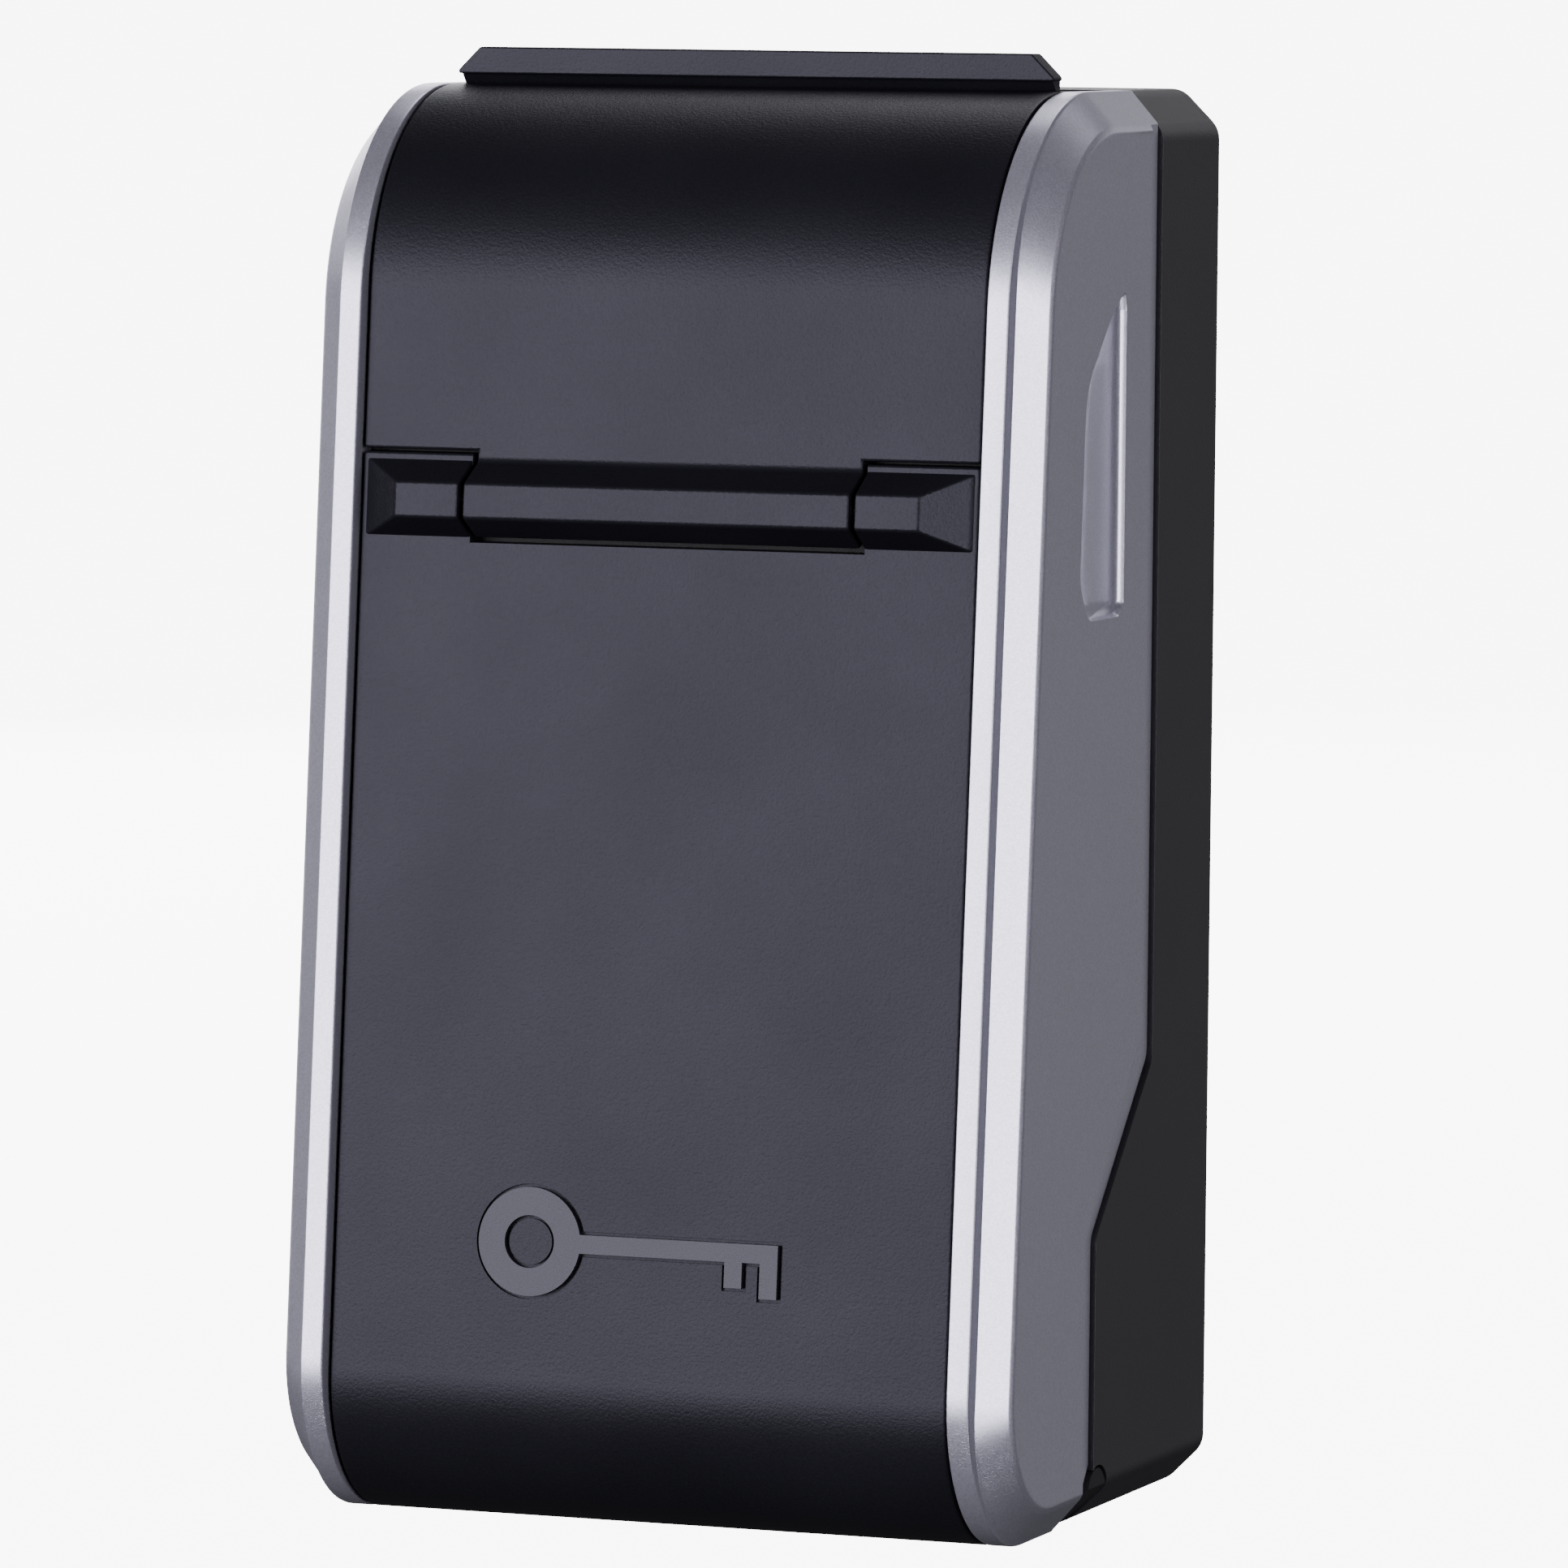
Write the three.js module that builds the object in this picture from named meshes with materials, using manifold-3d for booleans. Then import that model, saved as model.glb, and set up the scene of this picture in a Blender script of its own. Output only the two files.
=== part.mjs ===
// Wall-mounted key lock box: a housing that screws to a wall, a front door hinged along the bottom,
// a weather cover that flips down off four code dials, and a sprung latch released by a slide.
// Millimetres. +X is to the viewer's right, the front faces -Y, +Z is up.
// The origin is the middle of the flat wall face.
import * as THREE from 'three';
import { mergeVertices } from 'three/addons/utils/BufferGeometryUtils.js';
import { ConvexGeometry } from 'three/addons/geometries/ConvexGeometry.js';
import Module from 'manifold-3d';

const wasm = await Module();
wasm.setup();

// ---- driving dimensions -----------------------------------------------------------------------
// Heights in this block are measured up from the underside.
const WIDTH = 100;                        // across the two side covers
const BODY_HEIGHT = 185.5;                // underside to the top of the door and the housing
const BOTTOM_DEPTH = 84;                  // wall face to the front, at the underside
const LEAN = THREE.MathUtils.degToRad(4.6); // the front leans back towards the top
const TOP_RADIUS = 30;                    // side profile, front to top
const BOTTOM_RADIUS = 20.5;               // side profile, front to underside
const GAP = 0.4;                          // between fixed neighbours
const SKIN_GAP = 0.35;                    // panel and cover to the front rails
const DOOR_GAP = 0.5;                     // door to housing along the parting line
const FIT = 0.3;                          // clearance around pins and screws, on the radius

// Housing
const HOUSING_DEPTH = 23.4;               // wall face to the parting line, upper part
const FOOT_DEPTH = 45.4;                  // wall face to the parting line, lower part
const FOOT_HEIGHT = 38;                   // top of the deep lower part
const FOOT_RISE = 21;                     // height of the slanted parting line above it
const HOUSING_WALL = 3;
const CORNER = 5.2;                       // 45 degree corners of the housing, seen from the front

// Side covers
const RAIL_INNER = 42.7;                  // half the width between the two front rails
const RAIL_OUTER = 45.8;                  // outer edge of the flat rail strip
const RAIL_STEP = 1.9;                    // step down from the rail strip to the bevel
const BEVEL = 4.9;                        // how far the bevel reaches back at the side face
const SIDE_WALL = 2.6;
const SIDE_DEPTH = 5.2;                   // thickness of the rails, front to back
const REAR_LIP = 3.4;                     // narrow band along the rear edge of each side face
const REAR_LIP_STEP = 0.5;

// Panel, weather cover and the hinge ridge between them
const SKIN_INSET = 1.6;                   // panel and cover lie this far behind the rails
const PANEL_THICKNESS = 3.6;
const COVER_THICKNESS = 2.6;
const RIDGE_PROUD = 3;                    // ridge face in front of the rails
const RIDGE_CENTRE = 132.6;
const RIDGE_BASE = 9.8;                   // height of the ridge at its foot
const RIDGE_FACE = 4.5;                   // height of its flat face
const RIDGE_END_SLOPE = 6.5;              // length of the slope at each end
const RIDGE_TO_COVER = 1.3;               // ridge foot to the edge of the cover's skin
const TONGUE_HALF = 26.5;                 // half the width of the cover's knuckle
const COVER_PIN_RADIUS = 1;
const COVER_PIN_INSET = 1.2;
const KNUCKLE_ROOM = 1.1;                 // clearance round the turning knuckle, on the radius
const KNUCKLE_BACK = [[1.4, -4], [2.7, -2], [3.2, 0]]; // back of the knuckle, from the pin's axis
const COVER_FLAT = 2.6;                   // level stretch at the cover's rear end
const LIP_HALF = 41.3;
const LIP_RISE = 4.8;                     // finger lip above the body
const LIP_HEIGHT = 3.5;
const LIP_THICKNESS = 3.6;
const LIP_END = 3;                        // 45 degree ends
const LIP_NECK = 1;                       // undercut below the lip

// Door frame and its hinge
const FRAME_INSET = 5.6;
const FRAME_WALL = 3;
const FRAME_SIDE_WALL = 2.8;
const HINGE_Y = -43.5;
const HINGE_Z = 4.2;
const BARREL_RADIUS = 3.6;
const HINGE_PIN_RADIUS = 1.5;
const KNUCKLE_HALF = 29.5;                // half the width of the housing's middle knuckle

// Dials
const DIAL_COUNT = 4;
const DIGITS = 10;
const DIAL_RADIUS = 9.2;
const DIAL_WIDTH = 8;
const DIAL_PITCH = 11.5;
const DIAL_MIDDLE = -7;                   // middle of the row of dials, left of the centre
const DIAL_Z = 148.5;
const DIAL_INSET = 4.9;                   // how far the dials lie behind the rails
const CAM_RADIUS = 4;
const GATE = { radius: 5.6, thickness: 1.6, notch: 2.4 };
const SPINDLE_RADIUS = 2;

// Lock face, case and latch
const WINDOW_HALF = 34;
const WINDOW_BOTTOM = 140;
const WINDOW_TOP = 158;
const FACE_INSET = 7.2;
const FACE_PLATE = 2;
const CASE_HALF = 36.5;
const CASE_BOTTOM = 136.5;
const CASE_TOP = 163;
const CASE_REAR = 42;                     // rear of the lock case, from the wall
const CASE_WALL = 2;
const SLIDE_X = 24;
const SLIDE_TRAVEL = 5;
const SLIDE_BUTTON = { width: 9, height: 7, grip: 0.6, margin: 0.8 };
const STEM = { width: 4, height: 3.5 };
const LATCH_PLATE = 2;
const BOLT_WIDTH = 12;
const STRIKE_UNDERSIDE = 170;
const STRIKE_THICKNESS = 1.6;
const BOLT_CLEARANCE = 1.6;               // bolt below the strike when it is drawn
const BOLT_PLAY = 2.6;                    // room behind the bolt in the strike's slot
const LATCH_GAP = 0.6;                    // lock case to latch plate
const LATCH = { left: 8.6, right: 10.5, foot: 1.6, shoulder: 1, springSide: 3.2 };
const GUIDE = { left: 10.4, right: 10.9, thickness: 1.4, foot: 2, proud: 0.4 };

// ---- solids -----------------------------------------------------------------------------------
const ALONG_X = new THREE.Matrix4().makeBasis(
  new THREE.Vector3(0, 1, 0), new THREE.Vector3(0, 0, 1), new THREE.Vector3(1, 0, 0));
const ALONG_Y = new THREE.Matrix4().makeBasis(
  new THREE.Vector3(1, 0, 0), new THREE.Vector3(0, 0, 1), new THREE.Vector3(0, -1, 0));
const OVER = 1;                           // how far a cutting tool reaches past what it cuts

function solid(geometry) {
  const bare = new THREE.BufferGeometry();
  bare.setAttribute('position', geometry.getAttribute('position'));
  bare.setIndex(geometry.getIndex());
  const merged = mergeVertices(bare, 1e-4);
  return new wasm.Manifold(new wasm.Mesh({
    numProp: 3,
    vertProperties: new Float32Array(merged.getAttribute('position').array),
    triVerts: new Uint32Array(merged.getIndex().array),
  }));
}

function join(...parts) {
  return parts.reduce((whole, part) => whole.add(part));
}

function cut(body, ...tools) {
  return tools.reduce((rest, tool) => rest.subtract(tool), body);
}

function box(x0, x1, y0, y1, z0, z1) {
  const geometry = new THREE.BoxGeometry(x1 - x0, y1 - y0, z1 - z0);
  geometry.translate((x0 + x1) / 2, (y0 + y1) / 2, (z0 + z1) / 2);
  return solid(geometry);
}

function prism(outline, from, to, basis) {
  const shape = new THREE.Shape(outline.map(([a, b]) => new THREE.Vector2(a, b)));
  const geometry = new THREE.ExtrudeGeometry(shape, { depth: to - from, bevelEnabled: false });
  return solid(geometry.applyMatrix4(new THREE.Matrix4().copy(basis)
    .multiply(new THREE.Matrix4().makeTranslation(0, 0, from))));
}

// Outline in (y, z), drawn out from x0 to x1.
const alongX = (outline, x0, x1) => prism(outline, x0, x1, ALONG_X);
// Outline in (x, z), drawn out from y0 to y1.
const alongY = (outline, y0, y1) => prism(outline, -y1, -y0, ALONG_Y);

function circle(a, b, radius, sides) {
  return Array.from({ length: sides }, (_, i) => {
    const turn = (i + 0.5) * 2 * Math.PI / sides;
    return [a + radius * Math.cos(turn), b + radius * Math.sin(turn)];
  });
}

const rodX = (y, z, radius, x0, x1, sides = 20) => alongX(circle(y, z, radius, sides), x0, x1);
const rodY = (x, z, radius, y0, y1, sides = 16) => alongY(circle(x, z, radius, sides), y0, y1);

function rodZ(x, y, radius, z0, z1, sides = 16) {
  const geometry = new THREE.CylinderGeometry(radius, radius, z1 - z0, sides);
  geometry.rotateX(Math.PI / 2);
  geometry.translate(x, y, (z0 + z1) / 2);
  return solid(geometry);
}

const hull = (points) => solid(new ConvexGeometry(points.map((p) => new THREE.Vector3(...p))));

// A solid between two outlines in (y, z) with the same number of points, one at each end.
function loft(outlineA, xA, outlineB, xB) {
  const count = outlineA.length;
  const points = [...outlineA.map(([y, z]) => [xA, y, z]), ...outlineB.map(([y, z]) => [xB, y, z])];
  const cap = (outline) => THREE.ShapeUtils.triangulateShape(
    outline.map(([y, z]) => new THREE.Vector2(y, z)), []);
  const faces = [
    ...cap(outlineA).map(([a, b, c]) => [c, b, a]),
    ...cap(outlineB).map((face) => face.map((corner) => corner + count)),
    ...outlineA.flatMap((_, i) => {
      const next = (i + 1) % count;
      return [[i, next, next + count], [i, next + count, i + count]];
    }),
  ];
  const geometry = new THREE.BufferGeometry();
  geometry.setAttribute('position', new THREE.Float32BufferAttribute(points.flat(), 3));
  geometry.setIndex(faces.flat());
  return solid(geometry);
}

// ---- side profile -----------------------------------------------------------------------------
const slope = Math.tan(LEAN);
const frontAt = (z, inset = 0) => -BOTTOM_DEPTH + z * slope + inset / Math.cos(LEAN);

function arc(y, z, radius, fromDegrees, toDegrees, steps) {
  return Array.from({ length: steps + 1 }, (_, i) => {
    const turn = THREE.MathUtils.degToRad(fromDegrees + (toDegrees - fromDegrees) * i / steps);
    return [y + radius * Math.cos(turn), z + radius * Math.sin(turn)];
  });
}

// Centre of the top curve, for a profile drawn in by `front` and `top`.
function topCentre(front, top) {
  const radius = TOP_RADIUS - Math.max(front, top);
  const z = BODY_HEIGHT - top - radius;
  const tangentZ = z + radius * Math.sin(LEAN);
  return { radius, z, y: frontAt(tangentZ, front) + radius * Math.cos(LEAN) };
}

// The door's side profile, drawn in by a distance at the front, top and bottom, and closed by `rear`,
// a list of (y, z) points from the underside up to the top.
function profile(front, top, bottom, rear) {
  const curve = topCentre(front, top);
  const bottomRadius = BOTTOM_RADIUS - Math.max(front, bottom);
  const bottomZ = bottom + bottomRadius;
  const bottomY = frontAt(bottomZ, front) + bottomRadius;
  return [
    ...arc(curve.y, curve.z, curve.radius, 90, 180 - THREE.MathUtils.radToDeg(LEAN), 12),
    ...arc(bottomY, bottomZ, bottomRadius, 180, 270, 10),
    ...rear,
  ];
}

const evenProfile = (inset, rear) => profile(inset, inset, inset, rear);
const WIDE = 2 * (BODY_HEIGHT + WIDTH);   // larger than the whole object
const openRear = (top, bottom) => [[OVER, bottom], [OVER, BODY_HEIGHT - top]];

// The parting line on the door's side, `back` nearer to the viewer than the housing's edge. Its foot is
// cut off at a slant to clear the hinge barrel.
const FOOT_CUT = { width: 2.5, height: 0.8 };
const footY = HINGE_Y - BARREL_RADIUS - FOOT_CUT.width;

function partingLine(back, footZ, top) {
  return [
    [footY, footZ],
    [-FOOT_DEPTH - back, HINGE_Z + BARREL_RADIUS + FOOT_CUT.height],
    [-FOOT_DEPTH - back, FOOT_HEIGHT],
    [-HOUSING_DEPTH - back, FOOT_HEIGHT + FOOT_RISE + back],
    [-HOUSING_DEPTH - back, BODY_HEIGHT - top],
  ];
}

// ---- derived places ---------------------------------------------------------------------------
const half = WIDTH / 2;
const frameHalf = half - SIDE_WALL - GAP;
const skinHalf = RAIL_INNER - SKIN_GAP;
const shellInset = FRAME_INSET + FRAME_WALL;
const frameInner = frameHalf - FRAME_SIDE_WALL;
const reliefRadius = BARREL_RADIUS + GAP;
const pinY = frontAt(RIDGE_CENTRE, COVER_PIN_INSET);
const coverBottom = RIDGE_CENTRE + RIDGE_BASE / 2 + RIDGE_TO_COVER;
const coverEnd = -topCentre(SKIN_INSET, 0).y - COVER_FLAT;
const panelTop = RIDGE_CENTRE - RIDGE_BASE / 2 - GAP;
const earHalf = TONGUE_HALF + GAP;
const dialY = frontAt(DIAL_Z, DIAL_INSET) + DIAL_RADIUS;
const faceRearInset = shellInset + FIT + FACE_PLATE;
const boltTop = STRIKE_UNDERSIDE - BOLT_CLEARANCE;
const latchFront = -CASE_REAR + LATCH_GAP;
const latchRear = latchFront + LATCH_PLATE;
const dialX = (i) => DIAL_MIDDLE + (i - (DIAL_COUNT - 1) / 2) * DIAL_PITCH;
const RIB_X = dialX(DIAL_COUNT - 1) + DIAL_PITCH / 2 + 1;

// ---- materials --------------------------------------------------------------------------------
const finish = (color, roughness, metalness) => () =>
  new THREE.MeshStandardMaterial({ color, roughness, metalness });
const blackPlastic = finish(0x2b2b30, 0.55, 0);
const blackPaint = finish(0x303036, 0.45, 0.2);
const silverPaint = finish(0xb9b9c2, 0.35, 0.6);
const steel = finish(0x9a9ca0, 0.3, 1);
const zincPlate = finish(0xa8a9a4, 0.4, 0.9);
const brass = finish(0xb59a55, 0.35, 1);
const rubber = finish(0x17171a, 0.85, 0);
const dialMetal = finish(0xc4c5c8, 0.32, 0.85);

const model = new THREE.Group();

function add(name, body, material) {
  const { vertProperties, triVerts } = body.getMesh();
  const geometry = new THREE.BufferGeometry();
  geometry.setAttribute('position', new THREE.BufferAttribute(new Float32Array(vertProperties), 3));
  geometry.setIndex(new THREE.BufferAttribute(new Uint32Array(triVerts), 1));
  geometry.translate(0, 0, -BODY_HEIGHT / 2);
  geometry.computeVertexNormals();
  const mesh = new THREE.Mesh(geometry, material());
  mesh.name = name;
  model.add(mesh);
}

// A pan-head screw along an axis: the head lies at `seat` and the shank runs on by `length`.
const SCREW = { shank: 1.2, head: 2.3, headHeight: 1.6 };

function screwY(x, z, seat, length) {
  const shankSide = Math.sign(length);
  const ends = [seat, seat + length].sort((a, b) => a - b);
  const headEnds = [seat, seat - shankSide * SCREW.headHeight].sort((a, b) => a - b);
  return join(rodY(x, z, SCREW.shank, ...ends, 10), rodY(x, z, SCREW.head, ...headEnds, 14));
}

// ---- housing ----------------------------------------------------------------------------------
const MOUNT_HOLES = { x: 32, low: 24, high: 160, radius: 2.75 };
const STRIKE = { half: 15, leg: 21, reach: 44, screwX: 9 };
const HOOK_RAIL = { half: 30, bottom: 112, top: 126, thickness: 2.4 };
const HOOK = { count: 3, pitch: 20, reach: 13, rise: 6, radius: 1.3 };

function cornered(halfWidth, bottom, top, corner) {
  return [
    [-halfWidth, bottom + corner], [-halfWidth + corner, bottom],
    [halfWidth - corner, bottom], [halfWidth, bottom + corner],
    [halfWidth, top - corner], [halfWidth - corner, top],
    [-halfWidth + corner, top], [-halfWidth, top - corner],
  ];
}

function wallHousing() {
  const side = alongX([
    [0, 0], [HINGE_Y + BARREL_RADIUS / 3, 0], [-FOOT_DEPTH, HINGE_Z],
    [-FOOT_DEPTH, FOOT_HEIGHT], [-HOUSING_DEPTH, FOOT_HEIGHT + FOOT_RISE],
    [-HOUSING_DEPTH, BODY_HEIGHT], [0, BODY_HEIGHT],
  ], -half, half);
  const outer = alongY(cornered(half, 0, BODY_HEIGHT, CORNER), -FOOT_DEPTH - OVER, 0);
  const innerCorner = CORNER - HOUSING_WALL * (2 - Math.SQRT2);
  const inner = alongY(
    cornered(half - HOUSING_WALL, HOUSING_WALL, BODY_HEIGHT - HOUSING_WALL, innerCorner),
    -FOOT_DEPTH - OVER, -HOUSING_WALL);
  const relief = rodX(HINGE_Y, HINGE_Z, reliefRadius, -WIDE, WIDE, 32);
  const knuckle = join(
    rodX(HINGE_Y, HINGE_Z, BARREL_RADIUS, -KNUCKLE_HALF, KNUCKLE_HALF),
    box(-KNUCKLE_HALF, KNUCKLE_HALF, HINGE_Y, HINGE_Y + 2 * BARREL_RADIUS,
      HINGE_Z - BARREL_RADIUS, HINGE_Z));
  const holes = [];
  for (const x of [-MOUNT_HOLES.x, MOUNT_HOLES.x]) {
    for (const z of [MOUNT_HOLES.low, MOUNT_HOLES.high]) {
      holes.push(rodY(x, z, MOUNT_HOLES.radius, -HOUSING_WALL - OVER, OVER));
    }
  }
  for (const x of [-STRIKE.screwX, STRIKE.screwX]) {
    holes.push(rodZ(x, -STRIKE.leg / 2, SCREW.shank + FIT,
      BODY_HEIGHT - HOUSING_WALL - OVER, BODY_HEIGHT - GAP, 10));
  }
  return cut(join(cut(side.intersect(outer), inner, relief), knuckle), ...holes,
    rodX(HINGE_Y, HINGE_Z, HINGE_PIN_RADIUS + FIT / 2, -WIDE, WIDE));
}

function strikePlate() {
  const top = BODY_HEIGHT - HOUSING_WALL - FIT;
  const leg = -STRIKE.leg + STRIKE_THICKNESS;
  const right = SLIDE_X + BOLT_WIDTH;
  const slotHalf = BOLT_WIDTH / 2 + GAP;
  return cut(
    join(
      box(-STRIKE.half, right, -STRIKE.leg, -HOUSING_WALL - OVER, top - STRIKE_THICKNESS, top),
      box(-STRIKE.half, right, -STRIKE.leg, leg, STRIKE_UNDERSIDE, top),
      box(SLIDE_X - BOLT_WIDTH, right, -STRIKE.reach, leg,
        STRIKE_UNDERSIDE, STRIKE_UNDERSIDE + STRIKE_THICKNESS)),
    box(SLIDE_X - slotHalf, SLIDE_X + slotHalf, latchFront - GAP, latchRear + BOLT_PLAY,
      STRIKE_UNDERSIDE - OVER, STRIKE_UNDERSIDE + STRIKE_THICKNESS + OVER),
    ...[-STRIKE.screwX, STRIKE.screwX].map((x) =>
      rodZ(x, -STRIKE.leg / 2, SCREW.shank + FIT, top - STRIKE_THICKNESS - OVER, top + OVER, 10)));
}

function strikeScrew(x) {
  const seat = BODY_HEIGHT - HOUSING_WALL - FIT - STRIKE_THICKNESS - FIT;
  const y = -STRIKE.leg / 2;
  return join(rodZ(x, y, SCREW.shank, seat, BODY_HEIGHT - 2 * GAP, 10),
    rodZ(x, y, SCREW.head, seat - SCREW.headHeight, seat, 14));
}

function hookRail() {
  const rear = -HOUSING_WALL - FIT;
  return cut(
    box(-HOOK_RAIL.half, HOOK_RAIL.half, rear - HOOK_RAIL.thickness, rear,
      HOOK_RAIL.bottom, HOOK_RAIL.top),
    ...hookPlaces().map((x) => rodY(x, HOOK_RAIL.bottom + HOOK.rise, HOOK.radius + FIT,
      rear - HOOK_RAIL.thickness - OVER, rear + OVER, 12)));
}

function hookPlaces() {
  return Array.from({ length: HOOK.count }, (_, i) => (i - (HOOK.count - 1) / 2) * HOOK.pitch);
}

function keyHook(x) {
  const z = HOOK_RAIL.bottom + HOOK.rise;
  const tip = -HOUSING_WALL - 2 * FIT - HOOK.reach;
  return join(rodY(x, z, HOOK.radius, tip, -HOUSING_WALL - FIT, 12),
    rodZ(x, tip + HOOK.radius, HOOK.radius, z - HOOK.radius / 2, z + HOOK.rise, 12));
}

const LINER = { half: 42, bottom: 8, top: 108, thickness: 1.2 };

function compartmentLiner() {
  const rear = -HOUSING_WALL - FIT;
  return cut(box(-LINER.half, LINER.half, rear - LINER.thickness, rear, LINER.bottom, LINER.top),
    ...[-MOUNT_HOLES.x, MOUNT_HOLES.x].map((x) => rodY(x, MOUNT_HOLES.low, MOUNT_HOLES.radius * 2,
      rear - LINER.thickness - OVER, rear + OVER)));
}

const SEAL = { width: 1.8, depth: 4, bottom: 64 };

function doorSeal() {
  const corner = CORNER - (HOUSING_WALL + FIT) * (2 - Math.SQRT2);
  const ring = (inset, y0, y1) => alongY(cornered(half - HOUSING_WALL - inset, HOUSING_WALL + inset,
    BODY_HEIGHT - HOUSING_WALL - inset, corner), y0, y1);
  const front = -HOUSING_DEPTH;
  return cut(ring(FIT, front, front + SEAL.depth),
    ring(FIT + SEAL.width, front - OVER, front + SEAL.depth + OVER),
    box(-WIDE, WIDE, -WIDE, WIDE, -WIDE, SEAL.bottom),
    box(-STRIKE.half - GAP, SLIDE_X + BOLT_WIDTH + GAP, -STRIKE.leg - GAP, WIDE, SEAL.bottom, WIDE));
}

// ---- door shell -------------------------------------------------------------------------------
const BOSS_BESIDE_CASE = 3.4;
const BOSS = { x: CASE_HALF + BOSS_BESIDE_CASE, radius: 3, rear: 55.8 };
const LUG = { half: 3, thickness: 2.4 };
const CASE_SCREWS = [-1, 1].flatMap((side) => [142, 157].map((z) => [side * BOSS.x, z]));
const PANEL_SCREWS = [-1, 1].flatMap((side) => [34, 98].map((z) => [side * 34, z]));
const SIDE_SCREWS = [-1, 1].flatMap((side) => [40, 168].map((z) => [side, z]));
const SHELF = { behindCover: 1.1, below: 0.8 };

function skin(front, top, bottom, thickness, x0, x1) {
  return cut(
    alongX(profile(front, top, bottom, openRear(top, bottom)), x0, x1),
    alongX(profile(front + thickness, top + thickness, bottom + thickness,
      [[2 * OVER, bottom + thickness], [2 * OVER, BODY_HEIGHT - top - thickness]]), x0 - OVER, x1 + OVER));
}

function doorFrame() {
  const rear = partingLine(DOOR_GAP, FRAME_INSET, FRAME_INSET);
  const outer = alongX(evenProfile(FRAME_INSET, rear), -frameHalf, frameHalf);
  const inner = alongX(evenProfile(shellInset, openRear(shellInset, shellInset)), -frameInner, frameInner);
  const shelf = box(-skinHalf, skinHalf, -(coverEnd - SHELF.behindCover), -(HOUSING_DEPTH + DOOR_GAP),
    BODY_HEIGHT - FRAME_INSET - OVER, BODY_HEIGHT - SHELF.below);
  const outline = alongY(cornered(half - GAP / 2, GAP / 2, BODY_HEIGHT, CORNER), -FOOT_DEPTH - WIDE, 0);
  const barrels = [-1, 1].flatMap((side) => {
    const [a, b] = [side * (KNUCKLE_HALF + GAP), side * half].sort((p, q) => p - q);
    const [c, d] = [side * (KNUCKLE_HALF + GAP), side * (half - HOUSING_WALL - GAP)]
      .sort((p, q) => p - q);
    return [rodX(HINGE_Y, HINGE_Z, BARREL_RADIUS, a, b).intersect(outline),
      box(c, d, footY - GAP, HINGE_Y, FRAME_INSET, FRAME_INSET + 2 * FRAME_WALL)];
  });
  const bosses = CASE_SCREWS.map(([x, z]) =>
    rodY(x, z, BOSS.radius, frontAt(z, FRAME_INSET + OVER), -BOSS.rear));
  const relief = rodX(HINGE_Y, HINGE_Z, reliefRadius, -KNUCKLE_HALF - GAP, KNUCKLE_HALF + GAP, 32);
  const window = box(-WINDOW_HALF, WINDOW_HALF, -WIDE, frontAt(WINDOW_TOP, shellInset) + OVER,
    WINDOW_BOTTOM, WINDOW_TOP);
  const knuckleRoom = rodX(pinY, RIDGE_CENTRE, RIDGE_PROUD + COVER_PIN_INSET + KNUCKLE_ROOM,
    -earHalf, earHalf, 32);
  const pinBore = HINGE_PIN_RADIUS + FIT;
  const bores = [
    rodX(HINGE_Y, HINGE_Z, pinBore, -half + HOUSING_WALL, half - HOUSING_WALL),
    ...CASE_SCREWS.map(([x, z]) =>
      rodY(x, z, SCREW.shank + FIT, frontAt(z, shellInset), -BOSS.rear + OVER, 10)),
    ...PANEL_SCREWS.map(([x, z]) =>
      rodY(x, z, SCREW.shank + FIT, frontAt(z), frontAt(z, shellInset) + OVER, 10)),
    ...SIDE_SCREWS.map(([side, z]) => rodX(sideScrewY(z), z, SCREW.shank + FIT,
      ...[side * (frameInner - OVER), side * (frameHalf + OVER)].sort((p, q) => p - q), 10)),
  ];
  const shell = cut(join(cut(outer, inner), ...bosses), relief, window, knuckleRoom);
  return cut(join(shell, shelf, ...barrels), ...bores);
}

const SIDE_SCREW_INSET = 7;

// The side screws lie further back where the front curves away to the top.
function sideScrewY(z) {
  return frontAt(z, shellInset) + SIDE_SCREW_INSET + Math.max(0, z - BODY_HEIGHT + TOP_RADIUS) / 2;
}

const SCOOP = { bottom: 118, top: 160, front: 14.7, rear: 37.8, valley: 39.4, depth: 1.5, shoulder: 8 };

function sideCover(side) {
  const outline = (inset, lip = 0) => evenProfile(inset, partingLine(DOOR_GAP + lip, inset, inset));
  const rail = alongX(outline(0), RAIL_INNER, RAIL_OUTER);
  const bevel = loft(outline(RAIL_STEP), RAIL_OUTER, outline(BEVEL), half);
  const hollow = alongX(evenProfile(SIDE_DEPTH, openRear(SIDE_DEPTH, SIDE_DEPTH)),
    RAIL_INNER - OVER, half - SIDE_WALL);
  const rearBand = cut(box(half - REAR_LIP_STEP, half + OVER, -WIDE, WIDE, -WIDE, WIDE),
    alongX(outline(0, REAR_LIP), half - OVER, half + 2 * OVER));
  const bores = SIDE_SCREWS.filter(([s]) => s === side).map(([, z]) =>
    rodX(sideScrewY(z), z, SCREW.shank + FIT, half - SIDE_WALL - OVER, half - SIDE_WALL / 2, 10));
  const cover = cut(join(rail, bevel), hollow, rearBand, fingerScoop(), ...bores);
  return side > 0 ? cover : mirrored(cover);
}

const mirrored = (body) => body.mirror([1, 0, 0]);

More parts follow.
